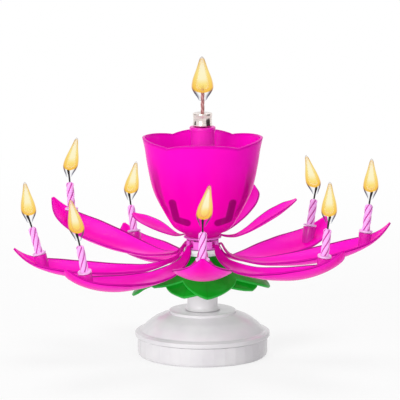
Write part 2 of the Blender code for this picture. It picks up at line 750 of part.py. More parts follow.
def fasteners_and_door():
    """Battery door and the screws of the base."""
    low, high = door_corners()
    door = block("battery_door", low, high)
    hole, seat = SCREW_RADIUS + GAP, SCREW_HEAD_RADIUS + GAP
    cut(door, rod("door_hole", hole, (DOOR_SCREW_X, BAY_Y, -OVERRUN), (DOOR_SCREW_X, BAY_Y, OVERRUN)))
    seat_top = SCREW_RECESS + SCREW_HEAD_HEIGHT + GAP / 2
    cut(door, rod("door_seat", seat, (DOOR_SCREW_X, BAY_Y, -OVERRUN), (DOOR_SCREW_X, BAY_Y, seat_top)))
    finish(door, "white_plastic")
    screw("battery_door_screw", (DOOR_SCREW_X, BAY_Y), DOOR_BOSS_HEIGHT - BOSS_WALL)
    for number, angle in enumerate(CASE_SCREW_ANGLES, start=1):
        place_xy = (CASE_SCREW_RADIUS * math.cos(angle), CASE_SCREW_RADIUS * math.sin(angle))
        screw(f"case_screw_{number}", place_xy, CASE_SCREW_LENGTH - BOSS_WALL)


def power_supply():
    """Button cells in a row with a contact at each end."""
    cell_z = INSIDE_FLOOR + CELL_RADIUS
    start = -STACK_HALF_LENGTH
    for number in range(CELL_COUNT):
        low_x = start + number * (CELL_HEIGHT + GAP)
        low = (low_x, BAY_Y, cell_z)
        high = (low_x + CELL_HEIGHT, BAY_Y, cell_z)
        cell = rod(f"button_cell_{number + 1}", CELL_RADIUS, low, high, steps=20)
        finish(cell, "steel")
    inner = STACK_HALF_LENGTH + GAP
    outer = inner + CONTACT_THICKNESS
    high_z = FLOOR + CONTACT_HEIGHT
    for name, low_x, high_x in (
        ("battery_contact_minus", -outer, -inner),
        ("battery_contact_plus", inner, outer),
    ):
        low = (low_x, BAY_Y - CONTACT_HALF_WIDTH, INSIDE_FLOOR)
        finish(block(name, low, (high_x, BAY_Y + CONTACT_HALF_WIDTH, high_z)), "brass")


def electronics():
    """Circuit board, melody chip, piezo disc and slide switch."""
    low = (*BOARD_LOW, BOARD_BOTTOM)
    board_top = BOARD_BOTTOM + BOARD_THICKNESS
    finish(block("circuit_board", low, (*BOARD_HIGH, board_top)), "board")
    centre_x = (BOARD_LOW[0] + BOARD_HIGH[0]) / 2
    centre_y = (BOARD_LOW[1] + BOARD_HIGH[1]) / 2
    chip_z = board_top + GAP
    chip = [(0, chip_z + CHIP_HEIGHT)]
    chip += [(CHIP_RADIUS * across, chip_z + CHIP_HEIGHT * up) for across, up in CHIP_SHARES]
    chip += [(CHIP_RADIUS, chip_z), (0, chip_z)]
    drop = turned("melody_chip", chip, 12, closed=False)
    drop.data.transform(Matrix.Translation((centre_x, centre_y, 0)))
    finish(drop, "black_epoxy")
    low_z = INSIDE_FLOOR
    high_z = low_z + PIEZO_HEIGHT
    piezo = rod("piezo_speaker", PIEZO_RADIUS, (PIEZO_X, PIEZO_Y, low_z), (PIEZO_X, PIEZO_Y, high_z), 20)
    finish(piezo, "brass")

    half_length = SWITCH_LENGTH / 2
    half_width = SWITCH_WIDTH / 2
    low = (SWITCH_X - half_length, SWITCH_Y - half_width, low_z)
    high = (SWITCH_X + half_length, SWITCH_Y + half_width, low_z + SWITCH_HEIGHT)
    housing = block("switch_housing", low, high)
    low = (low[0] + SWITCH_WALL, low[1] + SWITCH_WALL, low_z - OVERRUN)
    high = (high[0] - SWITCH_WALL, high[1] - SWITCH_WALL, low_z + SWITCH_HEIGHT - SWITCH_WALL)
    cut(housing, block("switch_hollow", low, high))
    finish(housing, "steel")
    slider_x = SWITCH_X - SWITCH_TRAVEL / 2
    low = (slider_x - KNOB_LENGTH / 2, SWITCH_Y - KNOB_WIDTH / 2, KNOB_RECESS)
    high = (slider_x + KNOB_LENGTH / 2, SWITCH_Y + KNOB_WIDTH / 2, low_z + GAP)
    slider = block("switch_slider", low, high)
    half_length = KNOB_LENGTH
    half_width = half_width - SWITCH_WALL - GAP
    low = (slider_x - half_length / 2 - KNOB_LENGTH / 4, SWITCH_Y - half_width, low_z)
    high_x = slider_x + half_length / 2 + KNOB_LENGTH / 4
    high = (high_x, SWITCH_Y + half_width, low_z + SWITCH_HEIGHT - SWITCH_WALL - GAP)
    join(slider, block("slider_body", low, high))
    finish(slider, "black_epoxy")


def gear_train():
    """Motor, pinion, reduction gear on its axle and output gear."""
    x, y = motor_centre()
    motor = rod("drive_motor", MOTOR_RADIUS, (x, y, INSIDE_FLOOR), (x, y, MOTOR_TOP), steps=20)
    shaft_bottom = MOTOR_TOP - MOTOR_SHAFT_DEPTH
    hole_radius = MOTOR_SHAFT_RADIUS + GAP
    cut(motor, rod("shaft_hole", hole_radius, (x, y, shaft_bottom - GAP), (x, y, MOTOR_TOP + OVERRUN)))
    finish(motor, "steel")

    pinion_turn = PINION_ANGLE + math.pi + math.pi / PINION_TEETH
    outline = shifted(gear_outline(PINION_TEETH, pinion_turn), x, y)
    pinion = plate("motor_pinion", outline, LARGE_GEAR_BOTTOM, LARGE_GEAR_TOP)
    join(pinion, rod("shaft", MOTOR_SHAFT_RADIUS, (x, y, shaft_bottom), (x, y, LARGE_GEAR_BOTTOM + EMBED)))
    finish(pinion, "brass")

    x, y = reduction_centre()
    outline = shifted(gear_outline(REDUCTION_LARGE_TEETH, PINION_ANGLE), x, y)
    gear = plate("reduction_gear", outline, LARGE_GEAR_BOTTOM, LARGE_GEAR_TOP)
    small_outline = shifted(gear_outline(REDUCTION_SMALL_TEETH), x, y)
    join(gear, plate("small_wheel", small_outline, LARGE_GEAR_TOP - EMBED, OUTPUT_GEAR_TOP))
    hub_bottom = AXLE_BOSS_TOP + GAP
    join(gear, rod("wheel_hub", AXLE_BOSS_RADIUS, (x, y, hub_bottom), (x, y, LARGE_GEAR_BOTTOM + EMBED)))
    bore_radius = AXLE_RADIUS + GAP
    cut(gear, rod("wheel_bore", bore_radius, (x, y, hub_bottom - OVERRUN), (x, y, OUTPUT_GEAR_TOP + OVERRUN)))
    finish(gear, "nylon")
    axle = rod("gear_axle", AXLE_RADIUS, (x, y, INSIDE_FLOOR), (x, y, OUTPUT_GEAR_TOP + AXLE_RADIUS))
    finish(axle, "steel")

    output = plate("output_gear", gear_outline(OUTPUT_TEETH), OUTPUT_GEAR_BOTTOM, OUTPUT_GEAR_TOP)
    hub_low = (0, 0, OUTPUT_GEAR_TOP - EMBED)
    hub_high = (0, 0, OUTPUT_GEAR_TOP + HUB_RISE)
    join(output, rod("output_hub", STEM_BORE - GAP, hub_low, hub_high, steps=ROUND_STEPS))
    bore_low = (0, 0, OUTPUT_GEAR_BOTTOM - OVERRUN)
    bore_high = (0, 0, OUTPUT_GEAR_TOP + HUB_RISE + OVERRUN)
    cut(output, rod("output_bore", POST_RADIUS + GAP, bore_low, bore_high, steps=16))
    finish(output, "nylon")


def stem():
    """Hollow stem with a journal, a flare over the collar and a top flange."""
    bottom = OUTPUT_GEAR_TOP + GAP
    flare_bottom = DOME_TOP + GAP
    web_top = STEM_TOP - SPRING_WEB_DEPTH
    flange_bottom = STEM_TOP - FLANGE_HEIGHT
    profile = [(JOURNAL_RADIUS, bottom), (JOURNAL_RADIUS, flare_bottom), (FLARE_RADIUS, flare_bottom)]
    profile += [(FLARE_RADIUS, flare_bottom + FLARE_HEIGHT / 2), (STEM_RADIUS, flare_bottom + FLARE_HEIGHT)]
    profile += [(STEM_RADIUS, flange_bottom), (FLANGE_RADIUS, flange_bottom), (FLANGE_RADIUS, STEM_TOP)]
    profile += [(STEM_BORE, STEM_TOP), (STEM_BORE, web_top), (WEB_HOLE, web_top)]
    web_low = web_top - WEB_THICKNESS
    profile += [(WEB_HOLE, web_low), (STEM_BORE, web_low), (STEM_BORE, bottom)]
    return finish(turned("stem", profile, ROUND_STEPS), "white_plastic")


def sepal_rays(sepals):
    """Angle and outline radius of each ray round one whorl of sepals."""
    rays = []
    count = len(sepals)
    for number, (centre, length_share) in enumerate(sepals):
        before = sepals[number - 1][0] - (math.tau if number == 0 else 0)
        after = sepals[(number + 1) % count][0] + (math.tau if number == count - 1 else 0)
        for column in range(SEPAL_COLUMNS):
            across = 2 * column / SEPAL_COLUMNS - 1
            half = (centre - before) / 2 if across < 0 else (after - centre) / 2
            lobe = 1 - abs(across) ** SEPAL_POINT_POWER
            outline = CALYX_RADIUS * (SEPAL_NOTCH_SHARE + (length_share - SEPAL_NOTCH_SHARE) * lobe)
            rays.append((centre + across * half, outline))
    return rays


def calyx_drop(radius):
    """Fall of the sepals' middle surface below its flat top, at a radius."""
    share = radius / CALYX_RADIUS
    for (low, start), (high, end) in zip(CALYX_SHARES, CALYX_SHARES[1:]):
        if share <= high:
            return CALYX_DROP * (start + (end - start) * max(share - low, 0) / (high - low))
    return CALYX_DROP


def sepal_whorl(name, sepals, step):
    """Whorl of drooping sepals, open round the stem, a step below the surface of the upper whorl."""
    rays = sepal_rays(sepals)
    inner_radius = STEM_RADIUS + GAP + CALYX_THICKNESS / 2
    reading = CALYX_THICKNESS
    shape = bmesh.new()
    grid = []
    for row_share in SEPAL_ROW_SHARES:
        ring = []
        for angle, outline in rays:
            radius = inner_radius + (outline - inner_radius) * row_share
            slope = (calyx_drop(radius + reading) - calyx_drop(radius - reading)) / (2 * reading)
            lean = math.atan(slope) * min(row_share / SEPAL_ROW_SHARES[1], 1)
            height = CALYX_TOP - CALYX_THICKNESS / 2 - calyx_drop(radius) - step * math.cos(lean)
            ring.append(shape.verts.new(polar(radius - step * math.sin(lean), angle, height)))
        grid.append(ring)
    for inner_ring, outer_ring in zip(grid, grid[1:]):
        for column in range(len(rays)):
            following = (column + 1) % len(rays)
            corners = (inner_ring[column], outer_ring[column], outer_ring[following], inner_ring[following])
            shape.faces.new(corners)
    mesh = bpy.data.meshes.new(name)
    shape.to_mesh(mesh)
    shape.free()
    obj = place(name, mesh)
    wall = obj.modifiers.new("wall", "SOLIDIFY")
    wall.thickness = CALYX_THICKNESS
    wall.offset = 0
    return finish(settle(obj), "green_plastic")


def calyx():
    """Two whorls of sepals, one under the other."""
    sepal_whorl("calyx", UPPER_SEPAL_SHARES, 0)
    sepal_whorl("calyx_lower", LOWER_SEPAL_SHARES, WHORL_OFFSET)


def petal_ring():
    """Ring with a slot for each petal's pin, arm and tail."""
    profile = [(RING_RADIUS, RING_TOP), (RING_RADIUS, RING_BOTTOM)]
    profile += [(STEM_BORE, RING_BOTTOM), (STEM_BORE, RING_TOP)]
    ring = turned("petal_ring", profile, RING_STEPS)
    slot = PIN_RADIUS + PIN_CLEARANCE
    for azimuth, _offset in PETAL_PLACES:
        turn = Matrix.Rotation(azimuth, 4, "Z")
        pin_length = PIN_HALF_LENGTH + GAP
        pin_slot = block(
            "pin_slot",
            (HINGE_RADIUS - slot, -pin_length, HINGE_HEIGHT - slot),
            (HINGE_RADIUS + slot, pin_length, RING_TOP + OVERRUN),
        )
        arm_half = ARM_HALF_WIDTH + GAP
        arm_slot = block(
            "arm_slot",
            (HINGE_RADIUS, -arm_half, HINGE_HEIGHT - slot),
            (RING_RADIUS + OVERRUN, arm_half, RING_TOP + OVERRUN),
        )
        tail_half = TAIL_RADIUS + GAP
        tail_slot = block(
            "tail_slot",
            (STEM_BORE - OVERRUN, -tail_half, RING_BOTTOM - OVERRUN),
            (HINGE_RADIUS, tail_half, RING_TOP + OVERRUN),
        )
        for tool in (pin_slot, arm_slot, tail_slot):
            tool.data.transform(turn)
            cut(ring, tool)
    return finish(ring, "pink_plastic")


def ring_cap():
    """Cap over the petal ring, with a flange under the inner petals."""
    skirt = STEM_BORE + CAP_SKIRT_WALL
    skirt_bottom = RING_TOP + GAP
    profile = [(0, CAP_TOP), (CAP_RADIUS, CAP_TOP), (CAP_RADIUS, CAP_BOTTOM), (skirt, CAP_BOTTOM)]
    profile += [(skirt, skirt_bottom), (STEM_BORE, skirt_bottom), (STEM_BORE, CAP_BOTTOM), (0, CAP_BOTTOM)]
    return finish(turned("ring_cap", profile, ROUND_STEPS, closed=False), "pink_plastic")


def push_plate():
    """Disc under the petals' tails, lifted by the spring."""
    bottom = PLATE_TOP - PLATE_THICKNESS
    disc = rod("push_plate", STEM_BORE - GAP, (0, 0, bottom), (0, 0, PLATE_TOP), steps=ROUND_STEPS)
    return finish(disc, "nylon")


def bloom_spring():
    """Compression spring between the stem's web and the push plate."""
    low = STEM_TOP - SPRING_WEB_DEPTH + GAP + SPRING_WIRE
    high = PLATE_TOP - PLATE_THICKNESS - GAP - SPRING_WIRE
    steps = SPRING_CURLS * SPRING_POINTS
    curve = bpy.data.curves.new("bloom_spring", "CURVE")
    curve.dimensions = "3D"
    curve.bevel_depth = SPRING_WIRE
    curve.bevel_resolution = 1
    curve.use_fill_caps = True
    spline = curve.splines.new("POLY")
    spline.points.add(steps)
    for step, point in enumerate(spline.points):
        angle = math.tau * step / SPRING_POINTS
        height = low + (high - low) * step / steps
        point.co = (*polar(SPRING_RADIUS, angle, height), 1)
    source = place("spring_path", curve)
    bpy.context.view_layer.update()
    depsgraph = bpy.context.evaluated_depsgraph_get()
    mesh = bpy.data.meshes.new_from_object(source.evaluated_get(depsgraph))
    bpy.data.objects.remove(source, do_unlink=True)
    pitch = (high - low) / SPRING_CURLS
    print(f"bloom_spring least gap to itself: {(pitch - 2 * SPRING_WIRE) * 1000:.2f} mm")
    return finish(settle(place("bloom_spring", mesh)), "steel")


def petal_stations(bend_share):
    """Stations of (reach, height, half width) from a petal's hinge to its tip, for a share of its bend."""
    elbow = RING_RADIUS - HINGE_RADIUS + ELBOW_STANDOFF
    stations = [(0, 0, ARM_HALF_WIDTH), (elbow / 2, 0, ARM_HALF_WIDTH), (elbow, 0, ARM_HALF_WIDTH)]
    for reach_share, height_share, width_share in BLADE_SHARES:
        reach = elbow + BLADE_REACH * reach_share
        stations.append((reach, BLADE_REACH * height_share * bend_share, BLADE_HALF_WIDTH * width_share))
    return stations


def holder_frame(bend_share):
    """Frame of the candle holder on a petal, and the blade's slope against it."""
    elbow = RING_RADIUS - HINGE_RADIUS + ELBOW_STANDOFF
    target = elbow + BLADE_REACH * HOLDER_SHARE
    stations = petal_stations(bend_share)
    steps = HOLDER_SEARCH_STEPS
    readings = [along_curve(stations, step / steps) for step in range(steps + 1)]
    index = min(range(1, steps), key=lambda number: abs(readings[number][0] - target))
    reach, height, _width = readings[index]
    before = readings[index - 1]
    after = readings[index + 1]
    slope = math.atan2(after[1] - before[1], after[0] - before[0]) + HOLDER_LEAN
    frame = Matrix.Translation((reach, 0, height)) @ Matrix.Rotation(HOLDER_LEAN, 4, "Y")
    return frame, math.tan(slope)


def petal_mesh(bend_share):
    """Mesh of one long petal in its hinge's frame, X outward, Y along the pin."""
    body = blade(
        "petal_blank",
        petal_stations(bend_share),
        1.0,
        PETAL_ROWS,
        PETAL_COLUMNS,
        BLADE_HALF_WIDTH,
        TROUGH_DEPTH,
        PETAL_THICKNESS,
    )
    join(body, rod("pin", PIN_RADIUS, (0, -PIN_HALF_LENGTH, 0), (0, PIN_HALF_LENGTH, 0), steps=10))
    tail_end = (-TAIL_LENGTH * math.cos(TAIL_ANGLE), 0, TAIL_LENGTH * math.sin(TAIL_ANGLE))
    join(body, rod("tail", TAIL_RADIUS, (0, 0, 0), tail_end, steps=8))

    frame, slope = holder_frame(bend_share)
    holder = rod("holder", HOLDER_RADIUS, (0, 0, HOLDER_SINK), (0, 0, HOLDER_HEIGHT), steps=14)
    for vert in holder.data.vertices:
        if vert.co.z < HOLDER_HEIGHT / 2:
            vert.co.z += vert.co.x * slope
    holder.data.transform(frame)
    join(body, holder)
    bore_bottom = HOLDER_HEIGHT - HOLDER_DEPTH
    bore = rod("bore", CANDLE_RADIUS + GAP, (0, 0, bore_bottom), (0, 0, HOLDER_HEIGHT + OVERRUN), steps=12)
    bore.data.transform(frame)
    cut(body, bore)
    mesh = body.data
    bpy.data.objects.remove(body, do_unlink=True)
    return mesh


def candle_mesh(bend_share):
    """Mesh of a twisted candle with its wick, in the petal's frame."""
    frame, _slope = holder_frame(bend_share)
    bottom = HOLDER_HEIGHT - HOLDER_DEPTH + GAP
    top = HOLDER_HEIGHT + CANDLE_HEIGHT
    rings = []
    disc_bottom = HOLDER_HEIGHT + GAP
    disc_top = disc_bottom + CANDLE_DISC_HEIGHT
    rings.append((CANDLE_RADIUS, bottom, 0))
    rings.append((CANDLE_RADIUS, disc_bottom, 0))
    rings.append((CANDLE_DISC_RADIUS, disc_bottom, 0))
    rings.append((CANDLE_DISC_RADIUS, disc_top, 0))
    for number in range(CANDLE_RINGS + 1):
        share = number / CANDLE_RINGS
        rings.append((CANDLE_RADIUS, disc_top + (top - disc_top) * share, CANDLE_TURNS * math.tau * share))
    last_turn = rings[-1][2]
    rings.append((WICK_RADIUS, top, last_turn))
    rings.append((WICK_RADIUS, top + WICK_HEIGHT, last_turn))
    shape = bmesh.new()
    loops = []
    for radius, height, turn in rings:
        loop = []
        for side in range(CANDLE_SIDES):
            groove = 1 - CANDLE_GROOVE_SHARE * (side % 2)
            angle = turn + math.tau * side / CANDLE_SIDES
            loop.append(shape.verts.new(polar(radius * groove, angle, height)))
        loops.append(loop)
    for lower, upper in zip(loops, loops[1:]):
        for side in range(CANDLE_SIDES):
            following = (side + 1) % CANDLE_SIDES
            shape.faces.new((lower[side], lower[following], upper[following], upper[side]))
    shape.faces.new(reversed(loops[0]))
    shape.faces.new(loops[-1])
    bmesh.ops.recalc_face_normals(shape, faces=shape.faces)
    mesh = bpy.data.meshes.new("candle")
    shape.to_mesh(mesh)
    shape.free()
    mesh.transform(frame)
    return mesh


def petals_and_candles():
    """Eight long petals at their hinges, each with its candle."""
    shapes = {}
    for bend_share in set(PETAL_BEND_SHARES):
        shapes[bend_share] = (petal_mesh(bend_share), candle_mesh(bend_share))
    for number, (azimuth, offset) in enumerate(PETAL_PLACES, start=1):
        petal_shape, candle_shape = shapes[PETAL_BEND_SHARES[number - 1]]
        frame = Matrix.Translation(polar(HINGE_RADIUS, azimuth, HINGE_HEIGHT))
        frame = frame @ Matrix.Rotation(azimuth, 4, "Z") @ Matrix.Rotation(-offset, 4, "Y")
        petal = place(f"petal_{number}", petal_shape)
        petal.matrix_world = frame
        finish(petal, "magenta_plastic")
        candle = place(f"candle_{number}", candle_shape)
        candle.parent = petal
        finish(candle, "candle_wax")


def inner_petals():
    """Short petals that lie between the cup and the long petals when the bud is shut."""
    stations = []
    for reach_share, height_share, width_share in INNER_SHARES:
        half_width = max(INNER_HALF_WIDTH * width_share, INNER_ROOT_HALF)
        stations.append((INNER_REACH * reach_share, INNER_REACH * height_share, half_width))
    pivot_radius = CAP_RADIUS - INNER_PIVOT_INSET
    pivot_height = CAP_TOP + INNER_PIVOT_RISE
    for number, (azimuth, elevation, length_share) in enumerate(INNER_PLACES, start=1):
        body = blade(
            f"inner_petal_{number}",
            stations,
            length_share,
            INNER_ROWS,
            INNER_COLUMNS,
            INNER_HALF_WIDTH,
            INNER_TROUGH,
            INNER_THICKNESS,
        )
        half = INNER_BARREL_HALF
        join(body, rod("barrel", INNER_BARREL_RADIUS, (0, -half, 0), (0, half, 0), steps=8))
        frame = Matrix.Translation(polar(pivot_radius, azimuth, pivot_height))
        body.matrix_world = frame @ Matrix.Rotation(azimuth, 4, "Z") @ Matrix.Rotation(-elevation, 4, "Y")
        finish(body, "magenta_plastic")


def bud_cup():
    """Bud-shaped cup with a floor, a foot and a scalloped rim."""
    foot_top = CUP_BOTTOM + CUP_HEIGHT * CUP_SHARES[0][1]
    half = CUP_WALL / 2
    stations = [(CUP_FLOOR_HOLE, CUP_BOTTOM + half, 0), (CUP_FOOT_RADIUS - half, CUP_BOTTOM + half, 0)]
    stations.append((CUP_FOOT_RADIUS - half, foot_top, 0))
    for radius_share, height_share in CUP_SHARES:
        scallop = max(height_share - CUP_SCALLOP_START_SHARE, 0) / (1 - CUP_SCALLOP_START_SHARE)
        height = CUP_BOTTOM + CUP_HEIGHT * height_share
        stations.append((CUP_RADIUS * radius_share - half, height, scallop**2))
    shape = bmesh.new()
    grid = []
    for radius, height, scallop in stations:
        ring = []
        for column in range(CUP_STEPS):
            angle = math.tau * column / CUP_STEPS
            lobe = abs(math.sin((angle - CUP_LOBE_TURN) * CUP_LOBES / 2)) ** CUP_LOBE_ROUNDNESS
            lift = CUP_SCALLOP * scallop * (lobe - 1)
            ring.append(shape.verts.new(polar(radius, angle, height + lift)))
        grid.append(ring)
    for lower, upper in zip(grid, grid[1:]):
        for column in range(CUP_STEPS):
            following = (column + 1) % CUP_STEPS
            shape.faces.new((lower[column], lower[following], upper[following], upper[column]))
    mesh = bpy.data.meshes.new("bud_cup")
    shape.to_mesh(mesh)
    shape.free()
    obj = place("bud_cup", mesh)
    wall = obj.modifiers.new("wall", "SOLIDIFY")
    wall.thickness = CUP_WALL
    wall.offset = 0
    wall.use_even_offset = True
    return finish(settle(obj), "magenta_plastic")


def column():
    """Pink column in the cup, with the fountain tube, ferrule and fuse."""
    foot_bottom = CUP_BOTTOM + CUP_WALL + GAP
    foot_top = foot_bottom + COLUMN_FOOT_HEIGHT
    peg_bottom = CUP_BOTTOM + GAP
    floor_top = foot_top + COLUMN_FLOOR
    collar_bottom = COLUMN_TOP - COLUMN_COLLAR_HEIGHT
    foot_radius = CUP_FOOT_RADIUS - CUP_WALL - GAP
    profile = [(0, floor_top), (COLUMN_BORE, floor_top), (COLUMN_BORE, COLUMN_TOP)]
    profile += [(COLUMN_COLLAR_RADIUS, COLUMN_TOP), (COLUMN_COLLAR_RADIUS, collar_bottom)]
    profile += [(COLUMN_RADIUS, collar_bottom - GAP), (COLUMN_RADIUS, foot_top + GAP)]
    profile += [(foot_radius, foot_top), (foot_radius, foot_bottom), (COLUMN_PEG_RADIUS, foot_bottom)]
    profile += [(COLUMN_PEG_RADIUS, peg_bottom), (0, peg_bottom)]
    finish(turned("fuse_column", profile, ROUND_STEPS, closed=False), "pink_plastic")
    tube_top = COLUMN_TOP - GAP
    low = (0, 0, floor_top + GAP)
    tube = rod("fountain_tube", COLUMN_BORE - GAP, low, (0, 0, tube_top), steps=ROUND_STEPS)
    finish(tube, "paper")

    low = COLUMN_TOP + GAP
    high = low + FERRULE_HEIGHT
    bead = FERRULE_BEAD
    inner = FERRULE_RADIUS - FERRULE_WALL - bead
    hole = FUSE_RADIUS + GAP
    profile = [(hole, high), (FERRULE_RADIUS - 2 * bead, high), (FERRULE_RADIUS - bead, high - bead)]
    band = (FERRULE_HEIGHT - 2 * bead) / FERRULE_GROOVES
    for number in range(FERRULE_GROOVES):
        top = high - bead - band * number
        profile += [(FERRULE_RADIUS, top - bead), (FERRULE_RADIUS, top - band + bead)]
        profile += [(FERRULE_RADIUS - bead, top - band)]
    profile += [(FERRULE_RADIUS - bead, low), (inner, low)]
    profile += [(inner, high - FERRULE_WALL), (hole, high - FERRULE_WALL)]
    finish(turned("fuse_cap", profile, FERRULE_STEPS), "chrome")
    fuse = rod("fuse", FUSE_RADIUS, (0, 0, tube_top + GAP), (0, 0, high + FUSE_RISE), steps=8)
    finish(fuse, "fuse_cord")


def build():
    """Build every sub-part of the candle."""
    clear_scene()
    collection = bpy.data.collections.new(COLLECTION_NAME)
    bpy.context.scene.collection.children.link(collection)
    base_tub()
    base_dome()
    fasteners_and_door()
    power_supply()
    electronics()
    gear_train()
    stem()
    calyx()
    petal_ring()
    ring_cap()
    push_plate()
    bloom_spring()
    petals_and_candles()
    bud_cup()
    inner_petals()
    column()


build()
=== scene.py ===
"""Looks of a lotus birthday candle whose petals open round a bud-shaped cup."""

import json
import logging
import math
from dataclasses import dataclass, field, replace
from enum import Enum
from functools import cache

import bpy
from mathutils import Matrix, Vector


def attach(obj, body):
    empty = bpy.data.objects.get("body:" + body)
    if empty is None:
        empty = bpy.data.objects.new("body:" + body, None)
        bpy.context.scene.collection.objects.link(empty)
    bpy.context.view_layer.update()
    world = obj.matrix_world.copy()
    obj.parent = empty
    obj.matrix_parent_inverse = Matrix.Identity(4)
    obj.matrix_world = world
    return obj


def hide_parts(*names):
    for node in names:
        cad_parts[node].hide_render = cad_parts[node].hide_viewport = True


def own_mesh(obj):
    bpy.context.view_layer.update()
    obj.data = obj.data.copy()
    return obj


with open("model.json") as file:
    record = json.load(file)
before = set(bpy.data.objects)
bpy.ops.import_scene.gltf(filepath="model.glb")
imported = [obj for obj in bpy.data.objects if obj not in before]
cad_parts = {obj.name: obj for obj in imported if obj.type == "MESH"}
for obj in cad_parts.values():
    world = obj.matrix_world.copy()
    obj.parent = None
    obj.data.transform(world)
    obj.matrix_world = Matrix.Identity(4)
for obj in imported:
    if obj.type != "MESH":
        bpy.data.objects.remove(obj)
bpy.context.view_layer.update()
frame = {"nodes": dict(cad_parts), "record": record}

LOG = logging.getLogger("lotus_candle")
MM = 0.001
QUARTER = math.pi / 2
CRISP_ANGLE = math.radians(38)
# Numbers of the Mix node's colour sockets.
MIX_FIRST, MIX_SECOND, MIX_RESULT = 6, 7, 2
CUP_BOTTOM = 57.1 * MM
CUP_HEIGHT = 46.9 * MM
Colour = tuple[float, float, float, float]
Pair = tuple[float, float]
Triple = tuple[float, float, float]
Profile = list[Pair]
WHITE: Colour = (1.0, 1.0, 1.0, 1.0)


def srgb(red: int, green: int, blue: int) -> Colour:
    """Colour of a finish from its screen values.

    Args:
        red, green, blue: screen values from 0 to 255.

    Returns:
        The colour in linear light, with an alpha of one.
    """
    linear = []
    for value in (red, green, blue):
        share = value / 255
        linear.append(share / 12.92 if share <= 0.04045 else ((share + 0.055) / 1.055) ** 2.4)
    return linear[0], linear[1], linear[2], 1.0


class Wire:
    """One output of a shader node, which adds and multiplies like a number."""

    def __init__(self, shader: "Shader", node: bpy.types.Node, output: int | str = 0) -> None:
        """Keep the node and which of its outputs this is.

        Args:
            shader: node tree that the node is in.
            node: the node.
            output: number or name of its output.
        """
        self.shader = shader
        self.node = node
        self.socket = node.outputs[output]

    def part(self, output: int | str) -> "Wire":
        """Another output of the same node."""
        return Wire(self.shader, self.node, output)

    def _maths(self, operation: str, other: "Wire | float", swapped: bool = False) -> "Wire":
        """Result of one Math node over this wire and another value."""
        pair = (other, self) if swapped else (self, other)
        return self.shader.add("ShaderNodeMath", {"operation": operation}, dict(enumerate(pair)))

    def __add__(self, other: "Wire | float") -> "Wire":
        """Sum."""
        return self._maths("ADD", other)

    def __radd__(self, other: float) -> "Wire":
        """Sum, from the right."""
        return self._maths("ADD", other, True)

    def __sub__(self, other: "Wire | float") -> "Wire":
        """Difference."""
        return self._maths("SUBTRACT", other)

    def __rsub__(self, other: float) -> "Wire":
        """Difference, from the right."""
        return self._maths("SUBTRACT", other, True)

    def __mul__(self, other: "Wire | float") -> "Wire":
        """Product."""
        return self._maths("MULTIPLY", other)

    def __rmul__(self, other: float) -> "Wire":
        """Product, from the right."""
        return self._maths("MULTIPLY", other, True)

    def __truediv__(self, other: "Wire | float") -> "Wire":
        """Quotient."""
        return self._maths("DIVIDE", other)

    def __pow__(self, other: float) -> "Wire":
        """Power."""
        return self._maths("POWER", other)

    def remainder(self) -> "Wire":
        """Part after the decimal point."""
        return self._maths("FRACT", 0.0)

    def size(self) -> "Wire":
        """Value without its sign."""
        return self._maths("ABSOLUTE", 0.0)

    def wave(self) -> "Wire":
        """Cosine of the value."""
        return self._maths("COSINE", 0.0)

    def least(self, other: "Wire | float") -> "Wire":
        """The smaller of two values."""
        return self._maths("MINIMUM", other)

    def most(self, other: "Wire | float") -> "Wire":
        """The larger of two values."""
        return self._maths("MAXIMUM", other)

    def step(self, low: float, high: float) -> "Wire":
        """Smooth rise from zero at low to one at high."""
        sockets = {"Value": self, "From Min": low, "From Max": high}
        return self.shader.add("ShaderNodeMapRange", {"interpolation_type": "SMOOTHSTEP"}, sockets)

    def swing(self, width: float) -> "Wire":
        """Cloudy value turned into a swing of a width about zero."""
        return width * (self - 0.5)


